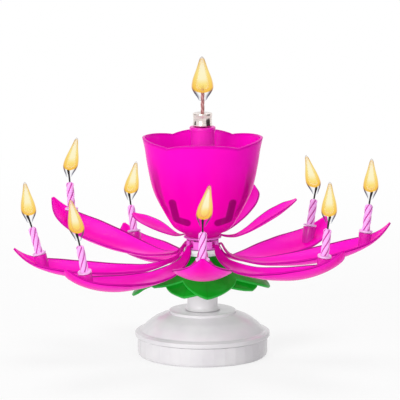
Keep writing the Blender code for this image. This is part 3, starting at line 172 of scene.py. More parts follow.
class Shader:
    """Node tree of one material or world, filled node by node."""

    def __init__(self, tree: bpy.types.NodeTree) -> None:
        """Take over a node tree and empty it."""
        self.tree = tree
        tree.nodes.clear()

    def add(self, kind: str, settings: dict | None = None, sockets: dict | None = None) -> Wire | None:
        """Add one node.

        Args:
            kind: type name of the node.
            settings: properties set before the sockets; "stops" holds the stops of a colour ramp.
            sockets: values or wires for the inputs, by name or number.

        Returns:
            The node's first output, or nothing for the node that ends a tree.
        """
        node = self.tree.nodes.new(kind)
        for name, value in (settings or {}).items():
            if name == "stops":
                self._set_stops(node.color_ramp, value)
            else:
                setattr(node, name, value)
        for name, value in (sockets or {}).items():
            if isinstance(value, Wire):
                self.tree.links.new(value.socket, node.inputs[name])
            else:
                node.inputs[name].default_value = value
        return Wire(self, node) if node.outputs else None

    @staticmethod
    def _set_stops(ramp: bpy.types.ColorRamp, stops: tuple) -> None:
        """Give a colour ramp its stops, each a place and a colour.

        Args:
            ramp: the node's ramp.
            stops: places from 0 to 1 with their colours.
        """
        while len(ramp.elements) < len(stops):
            ramp.elements.new(1.0)
        for element, (place, colour) in zip(ramp.elements, stops):
            element.position = place
            element.color = colour

    def coordinates(self, kind: str = "Object") -> Wire:
        """Place of the shaded point, on the object or on its plan."""
        return self.add("ShaderNodeTexCoord").part(kind)

    def split(self, vector: Wire) -> tuple[Wire, Wire, Wire]:
        """The three parts of a vector."""
        parts = self.add("ShaderNodeSeparateXYZ", None, {0: vector})
        return parts.part(0), parts.part(1), parts.part(2)

    def plan(self) -> tuple[Wire, Wire]:
        """Shares across and along the piece."""
        across, along, _unused = self.split(self.coordinates("UV"))
        return across, along

    def stretch(self, vector: Wire, scale: Triple) -> Wire:
        """A vector scaled part by part."""
        return self.add("ShaderNodeVectorMath", {"operation": "MULTIPLY"}, {0: vector, 1: scale})

    def noise(self, vector: Wire, scale: float, detail: float = 3.0) -> Wire:
        """Cloudy value between zero and one."""
        sockets = {"Vector": vector, "Scale": scale, "Detail": detail}
        return self.add("ShaderNodeTexNoise", None, sockets)

    def grain(self, vector: Wire, scale: float) -> Wire:
        """Fine noise, with less detail than a cloud."""
        return self.noise(vector, scale, 2.0)

    def ramp(self, stops: tuple, place: Wire) -> Wire:
        """Colour read off a row of stops."""
        return self.add("ShaderNodeValToRGB", {"stops": stops}, {0: place})

    def seen(self) -> Wire:
        """One where the camera, a mirror or glass looks, and zero for the light on things.

        Returns:
            One or zero.
        """
        path = self.add("ShaderNodeLightPath")
        looks = path.part("Is Camera Ray") + path.part("Is Glossy Ray") + path.part("Is Transmission Ray")
        return looks.least(1.0)

    def mix(self, share: Wire | float, first: Wire | Colour, second: Wire | Colour) -> Wire:
        """Colour between two colours."""
        sockets = {0: share, MIX_FIRST: first, MIX_SECOND: second}
        return self.add("ShaderNodeMix", {"data_type": "RGBA"}, sockets).part(MIX_RESULT)

    def bump(self, height: Wire, strength: float, distance: float) -> Wire:
        """Surface direction bent by a height in metres of distance."""
        sockets = {"Height": height, "Strength": strength, "Distance": distance}
        return self.add("ShaderNodeBump", None, sockets)

    def principled(self, **sockets: "Wire | float | Colour") -> Wire:
        """Main surface shader; underscores in the names stand for spaces."""
        named = {name.replace("_", " "): value for name, value in sockets.items()}
        return self.add("ShaderNodeBsdfPrincipled", None, named)

    def with_painted_glow(self, body: Wire, glow: float, **sockets: "Wire | float") -> Wire:
        """Main surface shader with a painted glow: it gives off a share of its own colour, which lifts its
        shade though it is no lamp.
        """
        return self.principled(Base_Color=body, Emission_Color=body, Emission_Strength=glow, **sockets)

    def clear(self, tint: Colour) -> Wire:
        """Surface that only tints what lies behind it."""
        return self.add("ShaderNodeBsdfTransparent", None, {0: tint})

    def blend(self, share: Wire | float, first: Wire, second: Wire) -> Wire:
        """Mix of two surfaces."""
        return self.add("ShaderNodeMixShader", None, {0: share, 1: first, 2: second})

    def close(self, surface: Wire, kind: str = "ShaderNodeOutputMaterial") -> None:
        """Send the surface to the output."""
        self.add(kind, None, {"Surface": surface})


@dataclass(frozen=True)
class Finish:
    """Something that a piece can be coated with."""

    name: str

    def wire(self, shader: Shader) -> Wire:
        """Build the surface in a shader; each finish has its own."""
        raise NotImplementedError


@cache
def material(finish: Finish) -> bpy.types.Material:
    """The material of a finish, made the first time it is asked for.

    Args:
        finish: what to make.

    Returns:
        The material.
    """
    made = bpy.data.materials.new(finish.name)
    made.use_nodes = True
    shader = Shader(made.node_tree)
    shader.close(finish.wire(shader))
    return made


@dataclass(frozen=True)
class MouldedPlastic(Finish):
    """Opaque moulded plastic with a faint cloudiness and fine grain."""

    colour: Colour
    shade: Colour
    roughness: float = 0.3
    grain: float = 0.15
    cloud_scale: float = 60.0
    cloud_range: Pair = (0.35, 0.75)
    grain_scale: float = 1400.0
    grain_depth: float = 0.05 * MM
    gloss_swing: float = 0.12
    specular: float = 0.45

    def wire(self, shader: Shader) -> Wire:
        """Mix colour and shade by a soft cloud and raise a fine grain.

        Args:
            shader: node tree of the material.

        Returns:
            The surface.
        """
        place = shader.coordinates()
        cloud = shader.noise(place, self.cloud_scale)
        fine = shader.grain(place, self.grain_scale)
        return shader.principled(
            Base_Color=shader.mix(cloud.step(*self.cloud_range), self.colour, self.shade),
            Roughness=self.roughness + fine.swing(self.gloss_swing),
            Normal=shader.bump(fine, self.grain, self.grain_depth),
            Specular_IOR_Level=self.specular,
        )


@dataclass(frozen=True)
class ClearPlastic(Finish):
    """Tinted plastic that lets some light and the shapes behind it through."""

    deep: Colour
    bright: Colour
    rim: Colour
    tint: Colour
    clearness: float
    strap: Colour
    # painted highlight: pale stripe down the middle of the lower half of each petal
    painted_highlight: Colour = srgb(255, 128, 232)
    highlight_share: float = 0.45
    highlight_side: Pair = (0.05, 0.55)
    highlight_rise: Pair = (0.12, 0.26)
    highlight_fall: Pair = (0.38, 0.62)
    highlight_cloud: Pair = (0.3, 0.7)
    strap_end: float = 0.26
    strap_fade: float = 0.14
    strap_curve: float = 0.04
    strap_cover: float = 0.8
    rim_start: float = 0.945
    rim_soft: float = 0.02
    rim_end: Pair = (0.985, 1.0)
    # painted glow: the plastic gives off a share of its own colour, which lifts its shade
    glow: float = 0.12
    cloud_scale: float = 55.0
    cloud_range: Pair = (0.3, 0.8)
    side_share: float = 0.5
    cloud_share: float = 0.6
    rib_count: float = 60.0
    rib_height: float = 0.15
    grain_scale: float = 900.0
    grain_height: float = 0.3
    relief: float = 0.12
    relief_depth: float = 0.1 * MM
    roughness: float = 0.16
    gloss_swing: float = 0.1
    specular: float = 0.015
    coat: float = 0.03
    coat_roughness: float = 0.08

    def _painted_highlight(self, side: Wire, along: Wire, cloud: Wire) -> Wire:
        """Painted highlight: a pale stripe down the middle of the lower half."""
        painted_shading_band = (1.0 - side.step(*self.highlight_side)) * along.step(*self.highlight_rise)
        return painted_shading_band * (1.0 - along.step(*self.highlight_fall)) * cloud.step(*self.highlight_cloud)

    def wire(self, shader: Shader) -> Wire:
        """Colour by the plan of the piece: strap at the root, bright field with a painted highlight down its
        middle, dark edge line and a painted glow.

        Args:
            shader: node tree of the material.

        Returns:
            The surface.
        """
        across, along = shader.plan()
        side = (across * 2.0 - 1.0).size()
        place = shader.coordinates()
        cloud = shader.noise(place, self.cloud_scale)
        light = (cloud * self.cloud_share + side * self.side_share).step(*self.cloud_range)
        body = shader.mix(light, self.deep, self.bright)
        # painted highlight mixed into the body
        body = shader.mix(self._painted_highlight(side, along, cloud) * self.highlight_share, body, self.painted_highlight)
        strap_start = self.strap_end - self.strap_fade
        root = 1.0 - (along + side * self.strap_curve).step(strap_start, self.strap_end)
        body = shader.mix(root, body, self.strap)
        edge = side.step(self.rim_start, self.rim_start + self.rim_soft)
        edge = edge * (1.0 - side.step(*self.rim_end) * 0.5)
        body = shader.mix(edge, body, self.rim)
        ribs = (side * self.rib_count).wave() * self.rib_height
        ribs = ribs + shader.grain(place, self.grain_scale) * self.grain_height
        plastic = shader.with_painted_glow(
            body,
            self.glow,
            Roughness=self.roughness + self.gloss_swing * cloud,
            Normal=shader.bump(ribs, self.relief, self.relief_depth),
            Specular_IOR_Level=self.specular,
            Coat_Weight=self.coat,
            Coat_Roughness=self.coat_roughness,
        )
        share = self.clearness * (1.0 - edge) * (1.0 - self.strap_cover * root)
        return shader.blend(share, plastic, shader.clear(self.tint))


@dataclass(frozen=True)
class CupPlastic(Finish):
    """Deep tinted plastic of the cup, lighter near its rim, with painted shade in darker side bands and low
    down, and painted dark reflection marks at front and back.
    """

    deep: Colour
    bright: Colour
    # painted shade: darker colour of the side bands and of the cup's bottom
    painted_shading_band: Colour
    # painted reflection: dark colour of the L-shaped marks at front and back; the lip line is darkened with
    # it too
    painted_reflection: Colour
    tint: Colour
    bottom: float
    height: float
    clearness: float = 0.05
    # painted reflection: corners and width of the L-shaped marks
    reflection_top: Pair = (14.0 * MM, 75.6 * MM)
    reflection_corner: Pair = (12.2 * MM, 67.0 * MM)
    reflection_foot: Pair = (7.2 * MM, 65.8 * MM)
    reflection_half: float = 2.0 * MM
    reflection_soft: float = 0.7 * MM
    reflection_fade: float = 0.3
    reflection_share: float = 0.85
    # painted shade: where the darker side bands lie round and up the cup, and how strong they are
    shade_band_angle: float = 0.87
    shade_band_half: float = 0.1
    shade_band_core: float = 0.3
    shade_band_rise: Pair = (0.16, 0.3)
    shade_band_fall: Pair = (0.55, 0.85)
    shade_band_share: float = 0.6
    # painted shade towards the bottom of the cup
    low_shade_range: Pair = (0.04, 0.17)
    low_shade_share: float = 0.45
    lip_range: Pair = (0.965, 0.985)
    lip_share: float = 0.28
    cloud_scale: float = 60.0
    cloud_swing: float = 0.3
    cloud_range: Pair = (0.35, 0.95)
    rib_count: float = 6.0
    rib_height: float = 0.2
    grain_scale: float = 900.0
    grain_height: float = 0.3
    # painted glow: the cup gives off a share of its own colour, which lifts its shade
    glow: float = 0.1
    relief: float = 0.1
    relief_depth: float = 0.1 * MM
    roughness: float = 0.14
    gloss_swing: float = 0.1
    specular: float = 0.02
    coat: float = 0.02
    coat_roughness: float = 0.06

    def _stroke(self, across: Wire, up: Wire, start: Pair, end: Pair) -> Wire:
        """Round-ended line of one of the painted reflection marks.

        Args:
            across, up: place on the cup, sideways and upwards.
            start, end: places of its ends.

        Returns:
            One on the line and zero away from it.
        """
        run_x, run_y = end[0] - start[0], end[1] - start[1]
        length = run_x * run_x + run_y * run_y
        share = (across - start[0]) * (run_x / length) + (up - start[1]) * (run_y / length)
        share = share.most(0.0).least(1.0)
        off_x = across - start[0] - share * run_x
        off_y = up - start[1] - share * run_y
        distance = (off_x * off_x + off_y * off_y) ** 0.5
        inside = self.reflection_half - self.reflection_soft
        outside = self.reflection_half + self.reflection_soft * self.reflection_fade
        return 1.0 - distance.step(inside, outside)

    def wire(self, shader: Shader) -> Wire:
        """Colour by height on the object, with painted shade in darker side bands and low down, and painted
        dark reflection marks at front and back.

        Args:
            shader: node tree of the material.

        Returns:
            The surface.
        """
        place = shader.coordinates()
        along_x, _along_y, up = shader.split(place)
        across, along = shader.plan()
        rise = (up - self.bottom) / self.height
        cloud = shader.noise(place, self.cloud_scale)
        height = rise + cloud.swing(self.cloud_swing)
        body = shader.mix(height.step(*self.cloud_range), self.deep, self.bright)
        # painted shade: darker bands down both sides of the cup
        side = (across * math.tau).wave().size()
        off = (side - self.shade_band_angle).size()
        painted_shading_band = 1.0 - off.step(self.shade_band_half * self.shade_band_core, self.shade_band_half)
        painted_shading_band = painted_shading_band * (1.0 - rise.step(*self.shade_band_fall)) * rise.step(*self.shade_band_rise)
        # painted shade towards the bottom of the cup, in the same darker colour
        foot = 1.0 - rise.step(*self.low_shade_range)
        body = shader.mix((painted_shading_band * self.shade_band_share).most(foot * self.low_shade_share), body, self.painted_shading_band)
        # painted reflection: dark L-shaped marks at front and back of the wall
        reach = along_x.size()
        upright = self._stroke(reach, up, self.reflection_top, self.reflection_corner)
        painted_reflection = upright.most(self._stroke(reach, up, self.reflection_corner, self.reflection_foot))
        body = shader.mix(painted_reflection * self.reflection_share, body, self.painted_reflection)
        lip = along.step(*self.lip_range)
        body = shader.mix(lip * self.lip_share, body, self.painted_reflection)
        ribs = (across * math.tau * self.rib_count).wave() * self.rib_height
        fine = shader.grain(place, self.grain_scale) * self.grain_height + ribs
        plastic = shader.with_painted_glow(
            body,
            self.glow,
            Roughness=self.roughness + self.gloss_swing * cloud,
            Normal=shader.bump(fine, self.relief, self.relief_depth),
            Specular_IOR_Level=self.specular,
            Coat_Weight=self.coat,
            Coat_Roughness=self.coat_roughness,
        )
        share = self.clearness * (1.0 - lip) * (1.0 - painted_reflection)
        return shader.blend(share, plastic, shader.clear(self.tint))


@dataclass(frozen=True)
class LeafPlastic(Finish):
    """Green plastic with a painted glow that lifts its shade all over, with veins, painted shade towards the
    root and a painted highlight along its outer edge.
    """

    colour: Colour
    shade: Colour
    # painted highlight: pale colour along the outer edge of the sepals
    edge: Colour
    sepals: int = 5
    # painted glow: the leaves give off a share of their own colour, which lifts their shade
    glow: float = 0.38
    cloud_scale: float = 70.0
    cloud_range: Pair = (0.35, 0.8)
    # painted shade: darker towards the root of the sepals
    painted_root_shade: float = 0.25
    highlight_edge_range: Pair = (0.975, 0.995)
    highlight_edge_share: float = 0.3
    midrib_half: float = 0.03
    midrib_share: float = 0.35
    midrib_relief: float = 0.05
    veins: Pair = (3.0, 7.0)
    relief: float = 0.16
    relief_depth: float = 0.12 * MM
    roughness: float = 0.24
    gloss_swing: float = 0.15
    specular: float = 0.1

    def wire(self, shader: Shader) -> Wire:
        """Shade by the plan of the sepals.

        Args:
            shader: node tree of the material.

        Returns:
            The surface.
        """
        around, along = shader.plan()
        side = ((around * self.sepals).remainder() * 2.0 - 1.0).size()
        cloud = shader.noise(shader.coordinates(), self.cloud_scale)
        # random tone and painted shade towards the root
        dark = (cloud + self.painted_root_shade * (1.0 - along)).step(*self.cloud_range)
        body = shader.mix(dark, self.colour, self.shade)
        # painted highlight along the outer edge
        body = shader.mix(along.step(*self.highlight_edge_range) * self.highlight_edge_share, body, self.edge)
        midrib = 1.0 - side.step(0.0, self.midrib_half)
        body = shader.mix(midrib * self.midrib_share, body, self.shade)
        veins = ((side * self.veins[0] + along * self.veins[1]) * math.tau).wave()
        height = veins * 0.5 + (1.0 - side.step(0.0, self.midrib_relief))
        return shader.with_painted_glow(
            body,
            self.glow,
            Roughness=self.roughness + self.gloss_swing * cloud,
            Normal=shader.bump(height, self.relief, self.relief_depth),
            Specular_IOR_Level=self.specular,
        )


@dataclass(frozen=True)
class StripedWax(Finish):
    """Pale wax with a darker stripe in each groove of the twist."""

    pale: Colour
    stripe: Colour
    lobes: int
    stripe_range: Pair = (0.74, 0.93)
    stripe_swing: float = 0.1
    crumb_scale: float = 700.0
    # painted glow: the wax gives off a share of its own colour, which lifts its shade
    glow: float = 0.12
    relief: float = 0.25
    relief_depth: float = 0.1 * MM
    roughness: float = 0.35
    gloss_swing: float = 0.2
    depth_share: float = 0.1
    depth: float = 1.0 * MM

    def wire(self, shader: Shader) -> Wire:
        """Colour the grooves and roughen the wax a little.

        Args:
            shader: node tree of the material.

        Returns:
            The surface.
        """
        around, _along = shader.plan()
        groove = 0.5 - (around * math.tau * self.lobes).wave() * 0.5
        crumbs = shader.noise(shader.coordinates(), self.crumb_scale)
        stripe = (groove + crumbs.swing(self.stripe_swing)).step(*self.stripe_range)
        return shader.with_painted_glow(
            shader.mix(stripe, self.pale, self.stripe),
            self.glow,
            Roughness=self.roughness + self.gloss_swing * crumbs,
            Normal=shader.bump(crumbs, self.relief, self.relief_depth),
            Subsurface_Weight=self.depth_share,
            Subsurface_Scale=self.depth,
        )


@dataclass(frozen=True)
class BrightMetal(Finish):
    """Metal with fine turning marks."""

    colour: Colour
    shade: Colour
    roughness: float = 0.18
    marks: float = 2500.0
    mark_stretch: Triple = (0.1, 0.1, 1.0)
    mark_range: Pair = (0.3, 0.7)
    gloss_swing: float = 0.12
    relief: float = 0.15
    relief_depth: float = 0.05 * MM

    def wire(self, shader: Shader) -> Wire:
        """Draw the turning marks round the upright axis.

        Args:
            shader: node tree of the material.

        Returns:
            The surface.
        """
        lines = shader.grain(shader.stretch(shader.coordinates(), self.mark_stretch), self.marks)
        return shader.principled(
            Base_Color=shader.mix(lines.step(*self.mark_range), self.colour, self.shade),
            Metallic=1.0,
            Roughness=self.roughness + lines.swing(self.gloss_swing),
            Normal=shader.bump(lines, self.relief, self.relief_depth),
        )


@dataclass(frozen=True)
class TwistedCord(Finish):
    """Cord of fibres laid round each other."""

    colour: Colour
    shade: Colour
    turns: float = 9.0
    strands: float = 3.0
    fibre_scale: float = 2200.0
    lay_share: float = 0.7
    fibre_share: float = 0.5
    light_range: Pair = (0.3, 0.9)
    relief: float = 0.5
    relief_depth: float = 0.15 * MM
    roughness: float = 0.75
    gloss_swing: float = 0.2

    def wire(self, shader: Shader) -> Wire:
        """Draw the lay of the strands on the plan of the cord.

        Args:
            shader: node tree of the material.

        Returns:
            The surface.
        """
        around, along = shader.plan()
        lay = ((around * self.strands + along * self.turns) * math.tau).wave() * 0.5 + 0.5
        fibre = shader.noise(shader.coordinates(), self.fibre_scale)
        light = (lay * self.lay_share + fibre * self.fibre_share).step(*self.light_range)
        return shader.principled(
            Base_Color=shader.mix(light, self.shade, self.colour),
            Roughness=self.roughness + fibre.swing(self.gloss_swing),
            Normal=shader.bump(lay + fibre, self.relief, self.relief_depth),
        )


@dataclass(frozen=True)
class FlameGlow(Finish):
    """Burning gas that changes colour from foot to tip and thins out across its layer like glass."""

    colours: tuple[tuple[float, Colour], ...]
    cover: tuple[Pair, ...]
    middle: float
    edge: float
    fade_start: float
    fade_end: float
    flicker_scale: float = 260.0
    flicker_swing: float = 0.12

    def wire(self, shader: Shader) -> Wire:
        """Glow by height, with soft flickers in the cover.

        Args:
            shader: node tree of the material.

        Returns:
            The surface.
        """
        _around, along = shader.plan()
        flicker = shader.noise(shader.coordinates(), self.flicker_scale)
        height = along + flicker.swing(self.flicker_swing)
        glow = shader.ramp(self.colours, height)
        grey = tuple((place, (share, share, share, 1.0)) for place, share in self.cover)
        cover = shader.ramp(grey, height)
        facing = shader.add("ShaderNodeLayerWeight", None, {0: 0.5}).part("Facing")
        outward = facing.step(self.fade_start, self.fade_end)
        return shader.principled(
            Base_Color=(0.0, 0.0, 0.0, 1.0),
            Emission_Color=glow,
            Emission_Strength=1.0,
            Roughness=1.0,
            Specular_IOR_Level=0.0,
            Alpha=cover * (self.middle + (self.edge - self.middle) * outward),
        )


@dataclass(frozen=True)
class PaleSweep(Finish):
    """Pale paper under and behind the object; it keeps a soft shadow."""

    colour: Colour
    lift: float
    far_start: float = 0.12
    far_end: float = 0.6
    tooth_scale: float = 30.0
    tooth_share: float = 0.04
    roughness: float = 0.9
    specular: float = 0.1

    def wire(self, shader: Shader) -> Wire:
        """Lift what the camera and mirrors see towards white, fully so away from the object.

        Args:
            shader: node tree of the material.

        Returns:
            The surface.
        """
        place = shader.coordinates()
        tooth = shader.noise(place, self.tooth_scale)
        paper = shader.principled(
            Base_Color=shader.mix(tooth * self.tooth_share, self.colour, WHITE),
            Roughness=self.roughness,
            Specular_IOR_Level=self.specular,
        )
        white = shader.add("ShaderNodeEmission", None, {0: WHITE, 1: 1.0})
        place_x, place_y, _up = shader.split(place)
        distance = (place_x * place_x + place_y * place_y) ** 0.5
        lift = self.lift + (1.0 - self.lift) * distance.step(self.far_start, self.far_end)
        return shader.blend(shader.seen() * lift, paper, white)


PETAL_PINK = ClearPlastic(
    "petal_pink",
    deep=srgb(246, 0, 178),
    bright=srgb(253, 22, 198),
    rim=srgb(150, 4, 112),
    tint=srgb(255, 40, 206),
    clearness=0.05,
    strap=srgb(212, 0, 150),
)
INNER_PINK = replace(PETAL_PINK, name="inner_petal_pink", clearness=0.04)
HOLDER_PINK = MouldedPlastic("holder_pink", srgb(228, 6, 170), srgb(246, 30, 196), 0.22, 0.1)
RING_PINK = MouldedPlastic("ring_pink", srgb(251, 117, 228), srgb(240, 96, 214), 0.3, 0.12)
COLUMN_PINK = MouldedPlastic("column_pink", srgb(246, 4, 190), srgb(228, 0, 172), 0.3, 0.12)
BASE_WHITE = MouldedPlastic("base_white", srgb(238, 236, 238), srgb(228, 225, 229), 0.22, 0.12)
LEAF_GREEN = LeafPlastic("leaf_green", srgb(2, 132, 20), srgb(0, 98, 10), srgb(74, 200, 96))
CANDLE_WAX = StripedWax("candle_wax", srgb(250, 172, 242), srgb(190, 44, 158), 4)
DISC_WAX = MouldedPlastic("disc_wax", srgb(251, 190, 244), srgb(244, 170, 234), 0.4, 0.2)
FERRULE_SILVER = BrightMetal("ferrule_silver", srgb(238, 226, 220), srgb(212, 200, 196))
SPRING_STEEL = BrightMetal("spring_steel", srgb(190, 190, 194), srgb(150, 150, 156), 0.25)
CONTACT_BRASS = BrightMetal("contact_brass", srgb(206, 170, 92), srgb(178, 140, 66), 0.25)
FUSE_CORD = TwistedCord("fuse_cord", srgb(204, 146, 144), srgb(168, 104, 104))
WICK_BLACK = TwistedCord("wick_black", srgb(26, 20, 20), srgb(6, 5, 5), 4.0)
TUBE_PAPER = MouldedPlastic("tube_paper", srgb(206, 186, 152), srgb(190, 168, 132), 0.8, 0.5)
GEAR_NYLON = MouldedPlastic("gear_nylon", srgb(236, 234, 222), srgb(222, 218, 204), 0.45, 0.15)
BOARD_GREEN = MouldedPlastic("board_green", srgb(22, 84, 44), srgb(14, 66, 34), 0.4, 0.2)
FLAG_CLOTH = MouldedPlastic("flag_cloth", srgb(52, 44, 50), srgb(40, 34, 40), 0.9, 0.3)
CHIP_BLACK = MouldedPlastic("chip_black", srgb(26, 26, 28), srgb(16, 16, 18), 0.35, 0.2)
CUP_PINK = CupPlastic(
    "cup_pink",
    deep=srgb(246, 0, 176),
    bright=srgb(251, 8, 196),
    painted_shading_band=srgb(158, 0, 104),
    painted_reflection=srgb(136, 0, 92),
    tint=srgb(255, 80, 214),
    bottom=CUP_BOTTOM,
    height=CUP_HEIGHT,
)
SWEEP_PAPER = PaleSweep("pale_sweep", (0.9, 0.9, 0.9, 1.0), lift=0.8)
# Outlines of the flames' layers: share of the height and of the width.
COAT_SHAPE = (
    (0.0, 0.35), (0.07, 0.5), (0.165, 0.77), (0.257, 0.96), (0.33, 1.0), (0.43, 0.94),
    (0.53, 0.83), (0.716, 0.54), (0.86, 0.34), (0.954, 0.2), (1.0, 0.02),
)
BODY_SHAPE = (
    (0.0, 0.12), (0.03, 0.55), (0.063, 0.78), (0.11, 0.94), (0.2, 1.0), (0.327, 0.95),
    (0.45, 0.84), (0.687, 0.55), (0.868, 0.34), (0.96, 0.2), (1.0, 0.02),
)
FLAME_COAT = FlameGlow(
    "flame_coat",
    (
        (0.0, srgb(96, 100, 134)),
        (0.16, srgb(78, 76, 96)),
        (0.24, srgb(150, 104, 84)),
        (0.32, srgb(236, 176, 92)),
        (0.5, srgb(240, 200, 112)),
        (0.82, srgb(226, 184, 108)),
        (0.92, srgb(176, 128, 76)),
        (1.0, srgb(132, 92, 60)),
    ),
    ((0.0, 0.1), (0.06, 0.7), (0.2, 0.9), (0.34, 0.5), (0.7, 0.45), (0.88, 0.7), (1.0, 0.9)),
    middle=0.03,
    edge=1.0,
    fade_start=0.26,
    fade_end=0.62,
)
FLAME_AMBER = FlameGlow(
    "flame_amber",
    (
        (0.0, srgb(250, 190, 52)),
        (0.2, srgb(250, 206, 88)),
        (0.6, srgb(252, 228, 136)),
        (1.0, srgb(240, 200, 122)),
    ),
    ((0.0, 0.7), (0.12, 0.95), (0.6, 0.9), (1.0, 0.7)),
    middle=0.34,
    edge=1.0,
    fade_start=0.02,
    fade_end=0.4,
)
FLAME_CORE = FlameGlow(
    "flame_core",
    (
        (0.0, srgb(255, 214, 84)),
        (0.2, srgb(255, 236, 140)),
        (0.4, srgb(255, 255, 226)),
        (0.85, srgb(255, 253, 230)),
        (1.0, srgb(255, 240, 190)),
    ),
    ((0.0, 0.5), (0.2, 0.8), (0.36, 1.0), (0.8, 1.0), (1.0, 0.5)),
    middle=1.0,
    edge=0.05,
    fade_start=0.15,
    fade_end=0.75,
)
SLOT_FINISHES: dict[str, Finish] = {
    "white_plastic": BASE_WHITE,
    "magenta_plastic": HOLDER_PINK,
    "pink_plastic": RING_PINK,
    "green_plastic": LEAF_GREEN,
    "candle_wax": CANDLE_WAX,
    "chrome": FERRULE_SILVER,
    "fuse_cord": FUSE_CORD,
    "paper": TUBE_PAPER,
    "nylon": GEAR_NYLON,
    "steel": SPRING_STEEL,
    "brass": CONTACT_BRASS,
    "board": BOARD_GREEN,
    "black_epoxy": CHIP_BLACK,
}


class Ends(Enum):
    """What closes the first and last ring of a turned shape."""

    OPEN = "open"
    CAPPED = "capped"


def polar(radius: float, angle: float, height: float) -> Vector:
    """Point at a radius, angle and height."""
    return Vector((radius * math.cos(angle), radius * math.sin(angle), height))


def smooth_curve(points: tuple[tuple[float, ...], ...], steps: int) -> list[tuple[float, ...]]:
    """Curve through every point, with no corners.

    Args:
        points: points of any number of parts.
        steps: pieces of curve between two points.

    Returns:
        The points of the finer curve.
    """
    curve = []
    last = len(points) - 1
    for number in range(last):
        before, start = points[max(number - 1, 0)], points[number]
        end, after = points[number + 1], points[min(number + 2, last)]
        for step in range(steps):
            share = step / steps
            square, cube = share**2, share**3
            place = []
            for a, b, c, d in zip(before, start, end, after):
                bend = (2 * a - 5 * b + 4 * c - d) * square + (3 * b - a - 3 * c + d) * cube
                place.append(b + ((c - a) * share + bend) / 2)
            curve.append(tuple(place))
    curve.append(points[last])
    return curve


def skin(name: str, rows: list[list[Vector]], finish: Finish, wraps: bool = False, ends: Ends = Ends.OPEN,
         heights: list[float] | None = None) -> bpy.types.Object:
    """Smooth surface through rows of points.

    Args:
        name: name of the piece.
        rows: rows of points, all of one length.
        finish: what it is coated with.
        wraps: whether each row closes on itself.
        ends: whether the first and last row are closed.
        heights: share along the piece of each row, for the plan; even shares without it.

    Returns:
        The new object.
    """
    columns = len(rows[0])
    spans = columns if wraps else columns - 1
    shares = heights or [number / (len(rows) - 1) for number in range(len(rows))]
    points = [tuple(point) for row in rows for point in row]
    faces = []
    plan = []
    for row in range(len(rows) - 1):
        for column in range(spans):
            following = (column + 1) % columns
            corners = ((row, column), (row, following), (row + 1, following), (row + 1, column))
            faces.append([r * columns + c for r, c in corners])
            left, right = column / spans, (column + 1) / spans
            low, high = shares[row], shares[row + 1]
            plan += [(left, low), (right, low), (right, high), (left, high)]
    if ends is Ends.CAPPED:
        first = list(range(columns))
        top = (len(rows) - 1) * columns
        faces.append(first[::-1])
        plan += [(0.0, shares[0])] * columns
        faces.append([top + number for number in first])
        plan += [(0.0, shares[-1])] * columns
    mesh = bpy.data.meshes.new(name)
    mesh.from_pydata(points, [], faces)
    layer = mesh.uv_layers.new(name="plan")
    for loop, place in zip(layer.data, plan):
        loop.uv = place
    mesh.shade_smooth()
    mesh.materials.append(material(finish))
    made = bpy.data.objects.new(name, mesh)
    bpy.context.scene.collection.objects.link(made)
    return made


def ring(centre: Vector, radius: float, sides: int) -> list[Vector]:
    """Level ring of points round a centre."""
    return [centre + polar(radius, math.tau * number / sides, 0) for number in range(sides)]


def turned(name: str, profile: Profile, finish: Finish, sides: int = 96) -> bpy.types.Object:
    """Turned piece from the foot of its profile to its end, closed at both ends.

    Args:
        name: name of the piece.
        profile: radius and height along its outline.
        finish: what it is coated with.
        sides: points round it.

    Returns:
        The new object.
    """
    rows = [ring(Vector((0, 0, height)), radius, sides) for radius, height in profile]
    made = skin(name, rows, finish, wraps=True, ends=Ends.CAPPED)
    made.data.set_sharp_from_angle(angle=CRISP_ANGLE)
    return made


def walled(made: bpy.types.Object, wall: float) -> bpy.types.Object:
    """Give a surface its wall, half of it to each side.

    Args:
        made: the surface.
        wall: thickness.

    Returns:
        The same object.
    """
    modifier = made.modifiers.new("wall", "SOLIDIFY")
    modifier.thickness = wall
    modifier.offset = 0.0
    return made


def quarter(centre: Pair, start: float, radius: float, steps: int = 6) -> Profile:
    """Points of a quarter round about a centre, from an angle on.

    Args:
        centre: centre of the round, as radius and height.
        start: first angle.
        radius: radius of the round.
        steps: pieces it is cut into.

    Returns:
        Radius and height of each point.
    """
    points = []
    for number in range(steps + 1):
        angle = start + QUARTER * number / steps
        points.append((centre[0] + radius * math.cos(angle), centre[1] + radius * math.sin(angle)))
    return points


def round_foot(radius: float, low: float, edge: float) -> Profile:
    """Rounded lower corner of a turned piece's outer edge."""
    return quarter((radius - edge, low + edge), -QUARTER, edge)


def round_lip(radius: float, high: float, edge: float) -> Profile:
    """Rounded upper corner of a turned piece's outer edge."""
    return quarter((radius - edge, high - edge), 0, edge)


def round_edge(radius: float, low: float, high: float, edge: float) -> Profile:
    """Outer edge of a turned piece with both its corners rounded."""
    return round_foot(radius, low, edge) + round_lip(radius, high, edge)


def laid(made: bpy.types.Object) -> bpy.types.Object:
    """Lay a turned piece down across the petal it belongs to."""
    made.data.transform(Matrix.Rotation(QUARTER, 4, "X"))
    return made


def hinge_frame(radius: float, azimuth: float, height: float, rise: float) -> Matrix:
    """Frame of a petal on its hinge at rest.

    Args:
        radius, azimuth, height: place of the hinge.
        rise: angle by which the petal points up.

    Returns:
        The frame, outwards along x.
    """
    hinge = Matrix.Translation(polar(radius, azimuth, height))
    return hinge @ Matrix.Rotation(azimuth, 4, "Z") @ Matrix.Rotation(-rise, 4, "Y")


